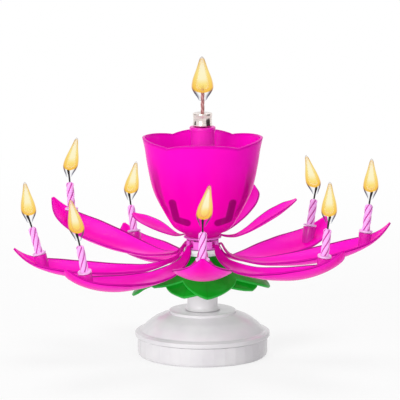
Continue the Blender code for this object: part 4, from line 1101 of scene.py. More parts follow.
def hang(child: bpy.types.Object, parent: bpy.types.Object, place: Matrix | None = None) -> None:
    """Hang a piece on another, at a place of its own or where it stands.

    Args:
        child: piece that hangs.
        parent: piece that carries it; it doesn't move.
        place: where the child stands; as it is without it.
    """
    if place is not None:
        child.matrix_world = place
    bpy.context.view_layer.update()
    child.parent = parent
    child.matrix_parent_inverse = parent.matrix_world.inverted()


@dataclass(frozen=True)
class FlameLayer:
    """One closed layer of a flame: outline, share of the width, height shares of foot and tip."""

    part: str
    shape: tuple[Pair, ...]
    width: float
    span: Pair
    finish: Finish


@dataclass
class Flame:
    """Candle flame: a bright core in an amber coat, with bluish gas low down."""

    name: str
    foot: Vector
    height: float = 19.2 * MM
    radius: float = 3.6 * MM
    bend: float = 0.8 * MM
    bend_power: float = 1.3
    least_width: float = 0.01
    steps: int = 5
    sides: int = 28
    layers: tuple[FlameLayer, ...] = (
        FlameLayer("coat", COAT_SHAPE, 1.0, (0.0, 1.0), FLAME_COAT),
        FlameLayer("amber", BODY_SHAPE, 0.92, (0.17, 0.965), FLAME_AMBER),
        FlameLayer("core", BODY_SHAPE, 0.56, (0.23, 0.9), FLAME_CORE),
    )

    def _layer(self, layer: FlameLayer) -> bpy.types.Object:
        """Shape one layer of the flame.

        Args:
            layer: which one.

        Returns:
            The new piece; it glows, but throws no shadow and no light on the wax.
        """
        low, high = layer.span
        curve = smooth_curve(layer.shape, self.steps)
        rows = []
        for up, wide in curve:
            level = self.height * (low + (high - low) * up)
            centre = self.foot + Vector((self.bend * (level / self.height) ** self.bend_power, 0, level))
            rows.append(ring(centre, self.radius * max(wide, self.least_width) * layer.width, self.sides))
        name, heights = f"{self.name}_{layer.part}", [up for up, _wide in curve]
        made = skin(name, rows, layer.finish, wraps=True, ends=Ends.CAPPED, heights=heights)
        made.visible_shadow = False
        made.visible_diffuse = False
        return made

    def build(self) -> list[bpy.types.Object]:
        """Every layer, in place."""
        return [self._layer(layer) for layer in self.layers]


@dataclass
class TwistedCandle:
    """Twisted candle on a round foot disc, with a bent wick."""

    name: str
    radius: float = 1.9 * MM
    bottom: float = 2.9 * MM
    disc_bottom: float = 7.3 * MM
    disc_top: float = 8.2 * MM
    disc_radius: float = 3.2 * MM
    top: float = 20.6 * MM
    turns: float = 0.6
    lobes: int = 4
    groove: float = 0.16
    shoulder_start: float = 0.94
    shoulder_length: float = 0.07
    shoulder_least: float = 0.3
    rings: int = 44
    sides: int = 32
    disc_edge: float = 0.25 * MM
    disc_neck: float = 0.6
    wick_radius: float = 0.6 * MM
    wick_top: float = 27.0 * MM
    wick_seat: float = 0.4 * MM
    wick_bend: float = 0.6 * MM
    wick_bulge: float = 0.08
    wick_bulges: float = 9
    wick_tip: float = 0.4
    wick_rings: int = 12
    wick_sides: int = 10

    def _twist(self) -> bpy.types.Object:
        """Wax body with its grooves and a rounded shoulder.

        Returns:
            The piece.
        """
        rows, heights = [], []
        for number in range(self.rings + 1):
            share = number / self.rings
            height = self.bottom + (self.top - self.bottom) * share
            past = max(0.0, (share - self.shoulder_start) / self.shoulder_length)
            shoulder = max(math.sqrt(max(0.0, 1 - past**2)), self.shoulder_least)
            turn = self.turns * math.tau * max(0.0, (height - self.disc_top) / (self.top - self.disc_top))
            row = []
            for side in range(self.sides):
                angle = math.tau * side / self.sides
                groove = 1 - self.groove * (0.5 - 0.5 * math.cos(angle * self.lobes)) ** 2
                row.append(polar(self.radius * groove * shoulder, angle + turn, height))
            rows.append(row)
            heights.append(share)
        return skin(f"{self.name}_twist", rows, CANDLE_WAX, wraps=True, ends=Ends.CAPPED, heights=heights)

    def _disc(self) -> bpy.types.Object:
        """Foot disc with rounded edges.

        Returns:
            The piece.
        """
        neck = self.radius * self.disc_neck
        profile = [(neck, self.disc_bottom)]
        profile += round_edge(self.disc_radius, self.disc_bottom, self.disc_top, self.disc_edge)
        profile.append((neck, self.disc_top))
        return turned(f"{self.name}_disc", profile, DISC_WAX, sides=48)

    def _wick(self) -> bpy.types.Object:
        """Charred wick, a little bent.

        Returns:
            The piece.
        """
        rows = []
        start = self.top - self.wick_seat
        for number in range(self.wick_rings + 1):
            share = number / self.wick_rings
            level = start + (self.wick_top - start) * share
            bulge = self.wick_bulge * math.sin(self.wick_bulges * share)
            wide = self.wick_radius * (0.5 + 0.5 * share + bulge)
            wide *= 1 if number < self.wick_rings else self.wick_tip
            rows.append(ring(Vector((self.wick_bend * share**2, 0, level)), wide, self.wick_sides))
        return skin(f"{self.name}_wick", rows, WICK_BLACK, wraps=True, ends=Ends.CAPPED)

    def build(self, place: Matrix) -> bpy.types.Object:
        """The candle at a place, its disc and wick hanging on it.

        Args:
            place: frame of the holder it stands in.

        Returns:
            The wax body.
        """
        twist = self._twist()
        twist.matrix_world = place
        for child in (self._disc(), self._wick()):
            hang(child, twist, place)
        return twist


@dataclass
class PetalShape:
    """Length, width and rise of a petal and how they run along it."""

    elbow: float
    reach: float
    half_width: float
    trough: float
    wall: float
    shares: tuple[Triple, ...]
    root_half: float
    bend: float = 1.0
    bead: float = 0.25 * MM
    bead_start: float = 0.9
    bead_width: float = 0.1
    tip_share: float = 0.4
    columns: int = 29
    steps: int = 6

    def stations(self) -> list[Triple]:
        """Distance, height and half width at each step along the petal.

        Returns:
            The steps, from root to tip.
        """
        points = []
        if self.elbow:
            points = [(far, 0.0, self.root_half) for far in (0.0, self.elbow / 2, self.elbow)]
        for far, up, wide in self.shares:
            half = max(self.half_width * wide, self.root_half * self.tip_share)
            points.append((self.elbow + self.reach * far, self.reach * up * self.bend, half))
        return smooth_curve(tuple(points), self.steps)

    def rows(self, length_share: float = 1.0) -> tuple[list[list[Vector]], list[float]]:
        """Points across the petal at each step, and each step's share along it.

        Args:
            length_share: size of the whole petal as a share of the full one.

        Returns:
            The rows of points and the shares.
        """
        stations = self.stations()
        rows, heights = [], []
        total = stations[-1][0]
        for number, (far, up, half) in enumerate(stations):
            before = stations[max(number - 1, 0)]
            after = stations[min(number + 1, len(stations) - 1)]
            run = Vector((after[0] - before[0], 0, after[1] - before[1])).normalized()
            normal = Vector((-run.z, 0, run.x))
            fullness = (half / self.half_width) ** 2
            row = []
            for column in range(self.columns):
                side = 2 * column / (self.columns - 1) - 1
                lift = self.trough * fullness * side**2
                edge = max(0.0, (abs(side) - self.bead_start) / self.bead_width)
                lift += self.bead * math.sin(edge * QUARTER) * min(1.0, 2 * fullness)
                row.append((Vector((far, side * half, up)) + normal * lift) * length_share)
            rows.append(row)
            heights.append(far / total)
        return rows, heights

    def blade(self, name: str, finish: Finish, length_share: float = 1.0) -> bpy.types.Object:
        """The petal's blade with its wall, in its own frame."""
        rows, heights = self.rows(length_share)
        return walled(skin(name, rows, finish, heights=heights), self.wall)

    def point(self, reach_share: float) -> Pair:
        """Distance and height of the middle line at a share of the reach.

        Args:
            reach_share: share of the reach.

        Returns:
            Distance and height.
        """
        target = self.elbow + self.reach * reach_share
        stations = self.stations()
        for (far, up, _half), (next_far, next_up, _next_half) in zip(stations, stations[1:]):
            if next_far >= target:
                share = (target - far) / (next_far - far)
                return target, up + (next_up - up) * share
        return stations[-1][0], stations[-1][1]

    def surface(self, far: float, side: float) -> float:
        """Height of the petal's hollow at a distance along it and to one side."""
        return self.point((far - self.elbow) / self.reach)[1] + self.trough * (side / self.half_width) ** 2


LONG_SHAPE = PetalShape(
    elbow=2.8 * MM,
    reach=79.8 * MM,
    half_width=13.8 * MM,
    trough=4.4 * MM,
    wall=0.8 * MM,
    shares=(
        (0.017, -0.037, 0.16), (0.046, -0.073, 0.20), (0.105, -0.102, 0.32), (0.223, -0.137, 0.54),
        (0.340, -0.150, 0.74), (0.458, -0.155, 0.90), (0.570, -0.149, 0.99), (0.664, -0.137, 1.00),
        (0.770, -0.109, 0.93), (0.870, -0.066, 0.71), (0.940, -0.016, 0.43), (1.000, 0.051, 0.05),
    ),
    root_half=1.0 * MM,
)
SHORT_SHAPE = PetalShape(
    elbow=0.0,
    reach=39.4 * MM,
    half_width=9.6 * MM,
    trough=2.2 * MM,
    wall=0.6 * MM,
    shares=(
        (0.0, 0.0, 0.13), (0.047, -0.038, 0.18), (0.110, -0.073, 0.26), (0.178, -0.094, 0.36),
        (0.315, -0.105, 0.62), (0.467, -0.100, 0.88), (0.620, -0.086, 1.0), (0.742, -0.070, 0.95),
        (0.870, -0.040, 0.74), (1.0, 0.0, 0.16),
    ),
    root_half=1.2 * MM,
)
STUB_SHAPE = replace(
    SHORT_SHAPE,
    trough=1.2 * MM,
    shares=SHORT_SHAPE.shares[:5] + (
        (0.467, -0.106, 0.88), (0.620, -0.100, 1.0), (0.742, -0.092, 0.95), (0.870, -0.074, 0.74),
        (1.0, -0.044, 0.16),
    ),
)


@dataclass
class LongPetal:
    """Long petal with its hinge pin, tail, holder, candle and flame."""

    number: int
    azimuth: float
    offset: float
    bend: float = 1.0
    flame_bend: float = 0.0
    hinge_radius: float = 6.2 * MM
    hinge_height: float = 53.0 * MM
    pin_radius: float = 0.7 * MM
    pin_half: float = 1.4 * MM
    pin_edge: float = 0.2 * MM
    tail_radius: float = 0.45 * MM
    tail_length: float = 2.0 * MM
    tail_straight: float = 0.85
    tail_tip: float = 0.5
    tail_angle: float = math.radians(38.5)
    holder_share: float = 0.835
    holder_lean: float = math.radians(11)
    holder_radius: float = 3.2 * MM
    holder_foot: float = 2.5 * MM
    holder_height: float = 7.0 * MM
    holder_fillet: float = 0.5 * MM
    holder_seat: float = 1.5
    holder_flare: float = 0.15 * MM
    holder_lip: float = 0.35 * MM
    bore: float = 2.2 * MM
    bore_bottom: float = 2.6 * MM
    bore_chamfer: float = 0.1 * MM
    bore_middle: float = 0.2 * MM
    seat_rounds: int = 6
    flame_shift: float = 0.3 * MM
    flame_foot: float = 23.2 * MM
    flame_keep: float = 0.02

    @property
    def body(self) -> str:
        """Name of the CAD body the petal moves with."""
        return f"petal_{self.number}"

    def _holder(self, shape: PetalShape, local: Matrix) -> bpy.types.Object:
        """Tapered cup with a rounded lip, the bore for the candle and a foot that follows the petal.

        Args:
            shape: form of the petal under it.
            local: the holder's place in the petal's frame.

        Returns:
            The holder in its own frame.
        """
        profile = [(self.holder_foot, 0.0), (self.holder_foot + self.holder_flare, self.holder_fillet)]
        profile += round_lip(self.holder_radius, self.holder_height, self.holder_lip)
        profile += [
            (self.bore, self.holder_height - self.bore_chamfer),
            (self.bore, self.bore_bottom),
            (self.bore_middle, self.bore_bottom),
        ]
        holder = turned(f"{self.body}_holder", profile, HOLDER_PINK, sides=48)
        for vertex in holder.data.vertices:
            if vertex.co.z > self.holder_fillet * self.holder_seat:
                continue
            foot = Vector((vertex.co.x, vertex.co.y, 0))
            for _round in range(self.seat_rounds):
                point = local @ foot
                foot.z += shape.surface(point.x, point.y) - point.z
            vertex.co.z += foot.z
        return holder

    def _pin(self) -> bpy.types.Object:
        """Hinge pin with rounded ends, across the petal's root."""
        profile = round_edge(self.pin_radius, -self.pin_half, self.pin_half, self.pin_edge)
        return laid(turned(f"{self.body}_pin", profile, HOLDER_PINK, sides=24))

    def _tail(self) -> bpy.types.Object:
        """Tail that the push plate lifts, behind the pin.

        Returns:
            The piece.
        """
        profile = [(self.tail_radius, 0.0), (self.tail_radius, self.tail_length * self.tail_straight)]
        profile.append((self.tail_radius * self.tail_tip, self.tail_length))
        tail = turned(f"{self.body}_tail", profile, HOLDER_PINK, sides=16)
        tail.data.transform(Matrix.Rotation(self.tail_angle - QUARTER, 4, "Y"))
        return tail

    def build(self) -> bpy.types.Object:
        """Build every piece of the petal and let them ride on its body.

        Returns:
            The blade, which carries the rest.
        """
        place = hinge_frame(self.hinge_radius, self.azimuth, self.hinge_height, self.offset)
        shape = replace(LONG_SHAPE, bend=self.bend)
        blade = shape.blade(f"{self.body}_blade", PETAL_PINK)
        blade.matrix_world = place
        blade.visible_diffuse = False
        far, up = shape.point(self.holder_share)
        local = Matrix.Translation((far, 0, up)) @ Matrix.Rotation(self.holder_lean, 4, "Y")
        stand = place @ local
        hang(self._holder(shape, local), blade, stand)
        for child in (self._pin(), self._tail()):
            hang(child, blade, place)
        candle = TwistedCandle(f"candle_{self.number}").build(stand)
        hang(candle, blade)
        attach(blade, self.body)
        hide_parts(self.body)
        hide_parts(f"candle_{self.number}")
        foot = stand @ Vector((self.flame_shift, 0, self.flame_foot))
        for layer in Flame(f"flame_{self.number}", foot, bend=self.flame_bend).build():
            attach(layer, self.body)
            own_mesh(layer)
        return blade


@dataclass
class InnerPetal:
    """Short petal behind the cup, with its own pivot."""

    number: int
    azimuth: float
    elevation: float
    length_share: float
    shape: PetalShape
    pivot_radius: float = 8.6 * MM
    pivot_height: float = 57.4 * MM
    barrel_radius: float = 0.35 * MM
    barrel_half: float = 1.8 * MM
    barrel_end: float = 0.6
    barrel_straight: float = 0.9

    def _barrel(self) -> bpy.types.Object:
        """Pivot barrel with chamfered ends, across the petal's root.

        Returns:
            The piece.
        """
        end, straight = self.barrel_radius * self.barrel_end, self.barrel_half * self.barrel_straight
        profile = [(end, -self.barrel_half), (self.barrel_radius, -straight)]
        profile += [(self.barrel_radius, straight), (end, self.barrel_half)]
        return laid(turned(f"inner_petal_{self.number}_barrel", profile, HOLDER_PINK, sides=16))

    def build(self) -> bpy.types.Object:
        """Build the blade and barrel and let them ride on their body.

        Returns:
            The blade, which carries the barrel.
        """
        body = f"inner_petal_{self.number}"
        place = hinge_frame(self.pivot_radius, self.azimuth, self.pivot_height, self.elevation)
        blade = self.shape.blade(f"{body}_blade", INNER_PINK, self.length_share)
        blade.matrix_world = place
        hang(self._barrel(), blade, place)
        blade.visible_diffuse = False
        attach(blade, body)
        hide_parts(body)
        return blade


@dataclass
class BudCup:
    """Bud-shaped cup with a scalloped rim."""

    radius: float = 28.3 * MM
    bottom: float = CUP_BOTTOM
    height: float = CUP_HEIGHT
    wall: float = 1.1 * MM
    floor_radius: float = 3.0 * MM
    foot_radius: float = 7.6 * MM
    notches: tuple[float, ...] = (-54, 59, 121, 234, 306)
    scallop: float = 2.2 * MM
    lobe_power: float = 0.7
    lobe_start: float = 0.6
    steps: int = 192
    curve_steps: int = 7
    shares: tuple[Pair, ...] = (
        (0.320, 0.028), (0.445, 0.070), (0.525, 0.120), (0.660, 0.260), (0.790, 0.412), (0.862, 0.550),
        (0.924, 0.740), (0.958, 0.880), (1.0, 1.0),
    )

    def _lift(self, up: float, angle: float) -> float:
        """Fall of the rim between its lobes.

        Args:
            up: share of the cup's height.
            angle: direction.

        Returns:
            Zero or less.
        """
        climb = (max(up - self.lobe_start, 0) / (1 - self.lobe_start)) ** 2
        turn = math.degrees(angle)
        for start, end in zip(self.notches, self.notches[1:]):
            if turn <= end:
                break
        else:
            start, end = self.notches[-1], self.notches[1] + 360
        lobe = math.sin(math.pi * (turn - start) / (end - start)) ** self.lobe_power
        return self.scallop * climb * (lobe - 1)

    def build(self) -> bpy.types.Object:
        """Build the wall and let it ride on the head.

        Returns:
            The cup.
        """
        inset = self.wall / 2
        curve = [(self.floor_radius, inset), (self.foot_radius, inset)]
        for wide, up in smooth_curve(self.shares, self.curve_steps):
            curve.append((self.radius * wide - inset, self.height * up + inset * (1 - up)))
        rows, heights = [], []
        for radius, rise in curve:
            row = []
            for number in range(self.steps):
                angle = math.tau * number / self.steps
                lift = self._lift(rise / self.height, angle)
                row.append(polar(radius, angle, self.bottom + rise + lift))
            rows.append(row)
            heights.append(rise / self.height)
        cup = walled(skin("bud_cup_wall", rows, CUP_PINK, wraps=True, heights=heights), self.wall)
        cup.visible_diffuse = False
        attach(cup, "head")
        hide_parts("bud_cup")
        return cup


@dataclass
class Whorl:
    """One ring of sepals: the CAD node it stands for, and its sepals' directions and length shares."""

    node: str
    sepals: tuple[Pair, ...]
    step: float


@dataclass
class Calyx:
    """Green collar of two whorls of drooping sepals."""

    radius: float = 34.0 * MM
    top: float = 48.9 * MM
    drop: float = 18.9 * MM
    wall: float = 0.9 * MM
    bore: float = 7.5 * MM
    notch: float = 0.66
    point: float = 1.8
    columns: int = 24
    rows: int = 30
    fold: float = 0.35 * MM
    fold_half: float = 0.16
    lean_share: float = 0.22
    blur_step: float = 0.4 * MM
    blur_reach: int = 4
    shares: tuple[Pair, ...] = (
        (0.22, 0.0), (0.28, 0.07), (0.37, 0.25), (0.51, 0.38), (0.62, 0.46), (0.77, 0.57), (0.88, 0.69),
        (0.94, 0.83), (1.0, 1.0),
    )
    whorls: tuple[Whorl, ...] = (
        Whorl("calyx", ((67, 0.94), (136, 0.92), (218, 0.85), (274, 0.93), (355, 0.93)), 0.0),
        Whorl("calyx_lower", ((33, 0.92), (103, 0.92), (183, 1.0), (253, 0.91), (325, 0.87)), 1.5 * MM),
    )

    def _rays(self, sepals: tuple[Pair, ...]) -> list[Triple]:
        """Angle, outline radius and share across its sepal of each ray.

        Args:
            sepals: direction in degrees and length share of each.

        Returns:
            The rays, in order.
        """
        rays = []
        count = len(sepals)
        for number, (centre, length) in enumerate(sepals):
            before = sepals[number - 1][0] - (360 if number == 0 else 0)
            after = sepals[(number + 1) % count][0] + (360 if number == count - 1 else 0)
            for column in range(self.columns):
                across = 2 * column / self.columns - 1
                half = (centre - before) / 2 if across < 0 else (after - centre) / 2
                lobe = 1 - abs(across) ** self.point
                outline = self.radius * (self.notch + (length - self.notch) * lobe)
                rays.append((math.radians(centre + across * half), outline, across))
        return rays

    def _fall(self, radius: float) -> float:
        """Fall of the middle surface at a radius.

        Args:
            radius: distance from the axis.

        Returns:
            How far it lies below the top.
        """
        share = radius / self.radius
        for (low, start), (high, end) in zip(self.shares, self.shares[1:]):
            if share <= high:
                return self.drop * (start + (end - start) * max(share - low, 0) / (high - low))
        return self.drop

    def _even_fall(self, radius: float) -> float:
        """Fall with its corners smoothed, as a mean of readings round the radius.

        Args:
            radius: distance from the axis.

        Returns:
            How far it lies below the top.
        """
        steps = range(-self.blur_reach, self.blur_reach + 1)
        readings = [self._fall(radius + step * self.blur_step) for step in steps]
        return sum(readings) / len(readings)

    def _whorl(self, whorl: Whorl) -> bpy.types.Object:
        """One whorl, each sepal folded a little along its middle.

        Args:
            whorl: which one.

        Returns:
            The leaves of the whorl, as one piece.
        """
        rays = self._rays(whorl.sepals)
        inner = self.bore + self.wall / 2
        rows = []
        for number in range(self.rows + 1):
            share = number / self.rows
            row = []
            for angle, outline, across in rays:
                radius = inner + (outline - inner) * share
                slope = (self._fall(radius + self.wall) - self._fall(radius - self.wall)) / (2 * self.wall)
                lean = math.atan(slope) * min(share / self.lean_share, 1)
                height = self.top - self.wall / 2 - self._even_fall(radius) - whorl.step * math.cos(lean)
                height -= self.fold * share * max(0.0, 1 - abs(across) / self.fold_half)
                row.append(polar(radius - whorl.step * math.sin(lean), angle, height))
            rows.append(row)
        leaves = walled(skin(f"{whorl.node}_sepals", rows, LEAF_GREEN, wraps=True), self.wall)
        leaves.visible_diffuse = False
        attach(leaves, "head")
        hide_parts(whorl.node)
        return leaves

    def build(self) -> list[bpy.types.Object]:
        """Build both whorls and let them ride on the head."""
        return [self._whorl(whorl) for whorl in self.whorls]


@dataclass
class Middle:
    """Column in the cup with its silver ferrule, fuse and flame."""

    column_radius: float = 5.6 * MM
    collar_radius: float = 6.1 * MM
    collar_height: float = 1.8 * MM
    collar_edge: float = 0.4 * MM
    collar_cove: float = 0.3 * MM
    column_bottom: float = 57.4 * MM
    column_top: float = 109.0 * MM
    ferrule_radius: float = 4.6 * MM
    ferrule_bottom: float = 109.3 * MM
    ferrule_top: float = 115.5 * MM
    ferrule_waist: float = 0.25 * MM
    ferrule_lip: float = 0.5 * MM
    mouth_share: float = 1.3
    mouth_depth: float = 0.3 * MM
    waist_steps: int = 8
    fuse_radius: float = 0.9 * MM
    fuse_top: float = 128.5 * MM
    fuse_seat: float = 1.2 * MM
    fuse_twist: float = 9
    fuse_strands: int = 3
    strand_core: float = 0.9
    strand_lobe: float = 0.1
    fuse_rings: int = 40
    fuse_sides: int = 18
    burnt_start: float = 0.8
    burnt_length: float = 0.2
    burnt_share: float = 0.35
    flame_foot: float = 121.4 * MM
    flame_height: float = 20.6 * MM
    flame_radius: float = 5.1 * MM
    flame_bend: float = -0.3 * MM

    def _column(self) -> bpy.types.Object:
        """Column with its rounded collar.

        Returns:
            The piece.
        """
        low = self.column_top - self.collar_height
        profile = [(self.column_radius, self.column_bottom), (self.column_radius, low - self.collar_cove)]
        profile += round_edge(self.collar_radius, low, self.column_top, self.collar_edge)
        column = turned("fuse_column_body", profile, COLUMN_PINK)
        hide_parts("fuse_column")
        return column

    def _ferrule(self) -> bpy.types.Object:
        """Silver ferrule, a little waisted, with a rolled lip.

        Returns:
            The piece.
        """
        low, high, lip = self.ferrule_bottom, self.ferrule_top, self.ferrule_lip
        profile = round_foot(self.ferrule_radius, low, lip)
        for step in range(1, self.waist_steps):
            waist = self.ferrule_waist * math.sin(math.pi * step / self.waist_steps)
            height = low + lip + (high - low - 2 * lip) * step / self.waist_steps
            profile.append((self.ferrule_radius - waist, height))
        profile += round_lip(self.ferrule_radius, high, lip)
        profile.append((self.fuse_radius * self.mouth_share, high - self.mouth_depth))
        ferrule = turned("fuse_ferrule", profile, FERRULE_SILVER)
        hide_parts("fuse_cap")
        return ferrule

    def _fuse(self) -> bpy.types.Object:
        """Cord of the fuse with its lay, burnt thin at the top.

        Returns:
            The piece.
        """
        rows = []
        start = self.ferrule_top - self.fuse_seat
        for number in range(self.fuse_rings + 1):
            share = number / self.fuse_rings
            level = start + (self.fuse_top - start) * share
            narrow = 1.0 - self.burnt_share * max(0.0, (share - self.burnt_start) / self.burnt_length)
            row = []
            for side in range(self.fuse_sides):
                angle = math.tau * side / self.fuse_sides
                strand = self.strand_core + self.strand_lobe * math.cos(self.fuse_strands * angle)
                row.append(polar(self.fuse_radius * strand * narrow, angle + share * self.fuse_twist, level))
            rows.append(row)
        fuse = skin("fuse_cord_strands", rows, FUSE_CORD, wraps=True, ends=Ends.CAPPED)
        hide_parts("fuse")
        return fuse

    def build(self) -> list[bpy.types.Object]:
        """Build the pieces and let them ride on the head.

        Returns:
            Column, ferrule and fuse.
        """
        pieces = [self._column(), self._ferrule(), self._fuse()]
        foot = Vector((0, 0, self.flame_foot))
        layers = Flame("middle_flame", foot, self.flame_height, self.flame_radius, self.flame_bend).build()
        for piece in (*pieces, *layers):
            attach(piece, "head")
        for layer in layers:
            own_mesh(layer)
        return pieces


@dataclass
class BloomSpring:
    """Coil under the push plate, which shortens as the bud shuts; this one keeps one length."""

    radius: float = 3.8 * MM
    wire: float = 0.4 * MM
    curls: int = 6
    low: float = 40.1 * MM
    high: float = 51.6 * MM
    travel: float = 2.2 * MM
    steps: int = 24
    sides: int = 10

    def build(self) -> bpy.types.Object:
        """Wind the coil.

        Returns:
            The coil.
        """
        rows = []
        count = self.curls * self.steps
        for number in range(count + 1):
            angle = math.tau * number / self.steps
            height = self.low + (self.high - self.low) * number / count
            row = []
            for side in range(self.sides):
                turn = math.tau * side / self.sides
                out = self.radius + self.wire * math.cos(turn)
                row.append(polar(out, angle, height + self.wire * math.sin(turn)))
            rows.append(row)
        coil = skin("bloom_spring_coil", rows, SPRING_STEEL, wraps=True, ends=Ends.CAPPED)
        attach(coil, "head")
        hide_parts("bloom_spring")
        foot = self.low - self.wire
        length = self.high + self.wire - foot
        1 - self.travel / length
        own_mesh(coil)
        return coil


@dataclass
class Base:
    """Dome of the base and the stem that turns in it."""

    collar_radius: float = 15.8 * MM
    rim_radius: float = 31.8 * MM
    rim_bottom: float = 9.3 * MM
    rim_top: float = 11.5 * MM
    rise: float = 9.0 * MM
    rim_edge: float = 0.5 * MM
    rim_inset: float = 0.05 * MM
    collar_height: float = 1.2 * MM
    bore: float = 7.6 * MM
    inner_radius: float = 29.0 * MM
    stem_radius: float = 7.2 * MM
    stem_bottom: float = 14.4 * MM
    flare_radius: float = 8.2 * MM
    flare_bottom: float = 22.0 * MM
    flare_height: float = 2.6 * MM
    flare_steps: int = 8
    flange_radius: float = 8.8 * MM
    flange_bottom: float = 49.5 * MM
    flange_top: float = 51.2 * MM
    flange_edge: float = 0.35 * MM
    flange_neck: float = 0.6
    dome_steps: int = 6
    dome_shares: tuple[Pair, ...] = (
        (0.91, 0.06), (0.83, 0.09), (0.78, 0.20), (0.66, 0.41), (0.52, 0.60), (0.36, 0.77), (0.05, 0.98),
    )

    def _dome(self) -> bpy.types.Object:
        """Dome with its rounded rim, foot groove and raised collar.

        Returns:
            The piece.
        """
        profile = [(self.inner_radius, self.rim_bottom + self.rim_inset)]
        profile += round_edge(self.rim_radius, self.rim_bottom, self.rim_top, self.rim_edge)
        span = self.rim_radius - self.collar_radius
        slope = []
        for across, up in self.dome_shares:
            slope.append((self.collar_radius + span * across, self.rim_top + self.rise * up))
        profile += smooth_curve(tuple(slope), self.dome_steps)
        shoulder = self.rim_top + self.rise
        top = shoulder + self.collar_height
        profile.append((self.collar_radius, shoulder))
        profile += round_lip(self.collar_radius, top, self.rim_edge)
        profile += [(self.bore, top), (self.bore, shoulder - self.collar_height)]
        dome = turned("base_dome_shell", profile, BASE_WHITE, sides=160)
        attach(dome, "base")
        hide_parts("base_dome")
        return dome

    def _stem(self) -> bpy.types.Object:
        """Stem with its flare above the collar and its flange under the ring.

        Returns:
            The piece.
        """
        edge = self.flange_edge
        low, high = self.flare_bottom, self.flare_bottom + self.flare_height
        profile = [(self.stem_radius, self.stem_bottom), (self.stem_radius, low), (self.flare_radius, low)]
        for step in range(self.flare_steps + 1):
            turn = QUARTER * step / self.flare_steps
            out = (self.flare_radius - self.stem_radius) * (1 - math.sin(turn))
            profile.append((self.stem_radius + out, low + edge + (high - low) * (1 - math.cos(turn))))
        profile.append((self.stem_radius, self.flange_bottom))
        profile += round_edge(self.flange_radius, self.flange_bottom, self.flange_top, edge)
        profile.append((self.stem_radius * self.flange_neck, self.flange_top))
        stem = turned("stem_tube", profile, BASE_WHITE)
        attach(stem, "head")
        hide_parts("stem")
        return stem

    def build(self) -> tuple[bpy.types.Object, bpy.types.Object]:
        """Build the dome and the stem."""
        return self._dome(), self._stem()


@dataclass
class CadPieces:
    """Pieces that keep their CAD shape and only get a finish."""

    finishes: dict[str, Finish] = field(default_factory=SLOT_FINISHES.copy)

    def build(self) -> int:
        """Coat every CAD node by its material slot and count them.

        Returns:
            How many there are.
        """
        slots = {part["node"]: part["material_slot"] for part in frame["record"]["subparts"]}
        for name, node in frame["nodes"].items():
            finish = self.finishes.get(slots.get(name) or "", BASE_WHITE)
            for slot in node.material_slots:
                slot.material = material(finish)
        return len(frame["nodes"])


@dataclass
class Lamp:
    """Soft studio lamp that looks at the object."""

    name: str
    place: Triple
    width: float
    power: float
    aim: Triple = (0.0, 0.0, 0.06)

    def build(self) -> bpy.types.Object:
        """Hang the lamp and turn it to its aim.

        Returns:
            The lamp.
        """
        light = bpy.data.lights.new(self.name, "AREA")
        light.size = self.width
        light.energy = self.power
        lamp = bpy.data.objects.new(self.name, light)
        bpy.context.scene.collection.objects.link(lamp)
        lamp.location = self.place
        lamp.rotation_euler = (Vector(self.aim) - Vector(self.place)).to_track_quat("-Z", "Y").to_euler()
        return lamp


@dataclass
class Flag:
    """Dark studio card that shades one side; the camera doesn't see it."""

    name: str
    place: Triple
    width: float
    height: float

    def build(self) -> bpy.types.Object:
        """Stand the card up, facing the object.

        Returns:
            The card.
        """
        middle = Vector(self.place)
        across = Vector((-middle.y, middle.x, 0)).normalized() * self.width / 2
        rows = []
        for up in (-self.height / 2, 0.0, self.height / 2):
            rows.append([middle + across * side + Vector((0, 0, up)) for side in (-1, 0, 1)])
        card = skin(self.name, rows, FLAG_CLOTH)
        card.visible_camera = False
        card.visible_transmission = False
        card.visible_shadow = False
        return card


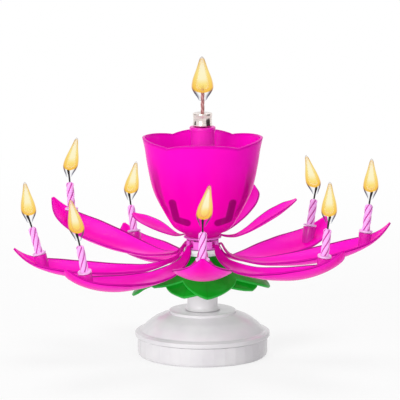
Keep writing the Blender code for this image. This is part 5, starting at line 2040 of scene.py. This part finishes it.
@dataclass
class Studio:
    """Pale sweep, soft lamps, even surroundings and the camera."""

    lens: float = 287.2
    sensor: float = 36.0
    distance: float = 1.5
    sight: float = 20.0
    elevation: float = math.radians(9.7)
    target: Triple = (-1.2 * MM, 0.0, 74.1 * MM)
    surround: float = 0.6
    floor_depth: float = 4.0
    sweep_radius: float = 0.6
    sweep_steps: int = 16
    lamps: tuple[Lamp, ...] = (
        Lamp("key_lamp", (-0.45, -1.0, 0.34), 0.5, 5.4),
        Lamp("top_lamp", (0.05, 0.3, 0.95), 0.5, 3.5),
    )
    flags: tuple[Flag, ...] = (
        Flag("flag_right", (0.42, -0.12, 0.2), 0.5, 0.42),
        Flag("flag_left", (-0.5, 0.1, 0.25), 0.3, 0.36),
    )

    def _sweep(self) -> bpy.types.Object:
        """Floor that curves up behind the object.

        Returns:
            The sweep.
        """
        profile = [(-self.floor_depth, 0.0), (self.floor_depth, 0.0)]
        for step in range(1, self.sweep_steps + 1):
            angle = QUARTER * step / self.sweep_steps
            out = self.floor_depth + self.sweep_radius * math.sin(angle)
            profile.append((out, self.sweep_radius * (1 - math.cos(angle))))
        profile.append((self.floor_depth + self.sweep_radius, self.floor_depth))
        rows = [[Vector((side * self.floor_depth, far, up)) for side in (-1, 0, 1)] for far, up in profile]
        sweep = skin("paper_sweep", rows, SWEEP_PAPER)
        return sweep

    def _surroundings(self) -> None:
        """Even light all round; the camera and mirrors see plain white."""
        world = bpy.data.worlds.new("studio")
        bpy.context.scene.world = world
        world.use_nodes = True
        shader = Shader(world.node_tree)
        soft = shader.add("ShaderNodeBackground", None, {0: WHITE, 1: self.surround})
        white = shader.add("ShaderNodeBackground", None, {0: WHITE, 1: 1.0})
        shader.close(shader.blend(shader.seen(), soft, white), "ShaderNodeOutputWorld")

    def _camera(self) -> bpy.types.Object:
        """Far camera a little above the flower.

        Returns:
            The camera.
        """
        data = bpy.data.cameras.new("camera")
        data.lens = self.lens
        data.sensor_width = self.sensor
        data.clip_end = self.sight
        camera = bpy.data.objects.new("camera", data)
        scene = bpy.context.scene
        scene.collection.objects.link(camera)
        away = Vector((0, -math.cos(self.elevation), math.sin(self.elevation)))
        camera.location = Vector(self.target) + away * self.distance
        camera.rotation_euler = (-away).to_track_quat("-Z", "Y").to_euler()
        scene.camera = camera
        return camera

    def build(self) -> None:
        """Set up the whole studio."""
        self._sweep()
        self._surroundings()
        for item in (*self.lamps, *self.flags):
            item.build()
        self._camera()
        bpy.context.scene.view_settings.view_transform = "Standard"


# Direction and rise of each long petal in degrees, share of its arch, and bend of its flame in mm.
LONG_PLACES = (
    (180, -4.3, 1.0, -2.2), (146, 7.0, 1.0, 4.0), (226, -2.8, 1.0, -3.6), (116, -5.7, 1.0, 3.2),
    (270, 4.2, 0.85, 3.2), (47, -1.6, 1.0, -4.6), (316, 2.8, 1.0, 0.4), (0, 4.3, 1.0, 0.4),
)
# Direction and rise of each inner petal in degrees, and share of its length.
INNER_PLACES = ((3, 25.1, 1.0), (57, 27.2, 1.0), (108, 27.2, 1.0), (154, 17.7, 0.74))


def main() -> None:
    """Build the candle piece by piece, then the studio."""
    logging.basicConfig(level=logging.INFO, format="%(message)s")
    LOG.info("coated %d CAD pieces", CadPieces().build())
    for piece in (*Base().build(), *Calyx().build()):
        LOG.info("built %s", piece.name)
    for number, (azimuth, offset, bend, sway) in enumerate(LONG_PLACES, start=1):
        petal = LongPetal(number, math.radians(azimuth), math.radians(offset), bend, sway * MM)
        LOG.info("built %s", petal.build().name)
    for number, (azimuth, elevation, share) in enumerate(INNER_PLACES, start=1):
        shape = SHORT_SHAPE if share == 1 else STUB_SHAPE
        petal = InnerPetal(number, math.radians(azimuth), math.radians(elevation), share, shape)
        LOG.info("built %s", petal.build().name)
    LOG.info("built %s", BudCup().build().name)
    for piece in (*Middle().build(), BloomSpring().build()):
        LOG.info("built %s", piece.name)
    Studio().build()


if __name__ == "__main__":
    main()
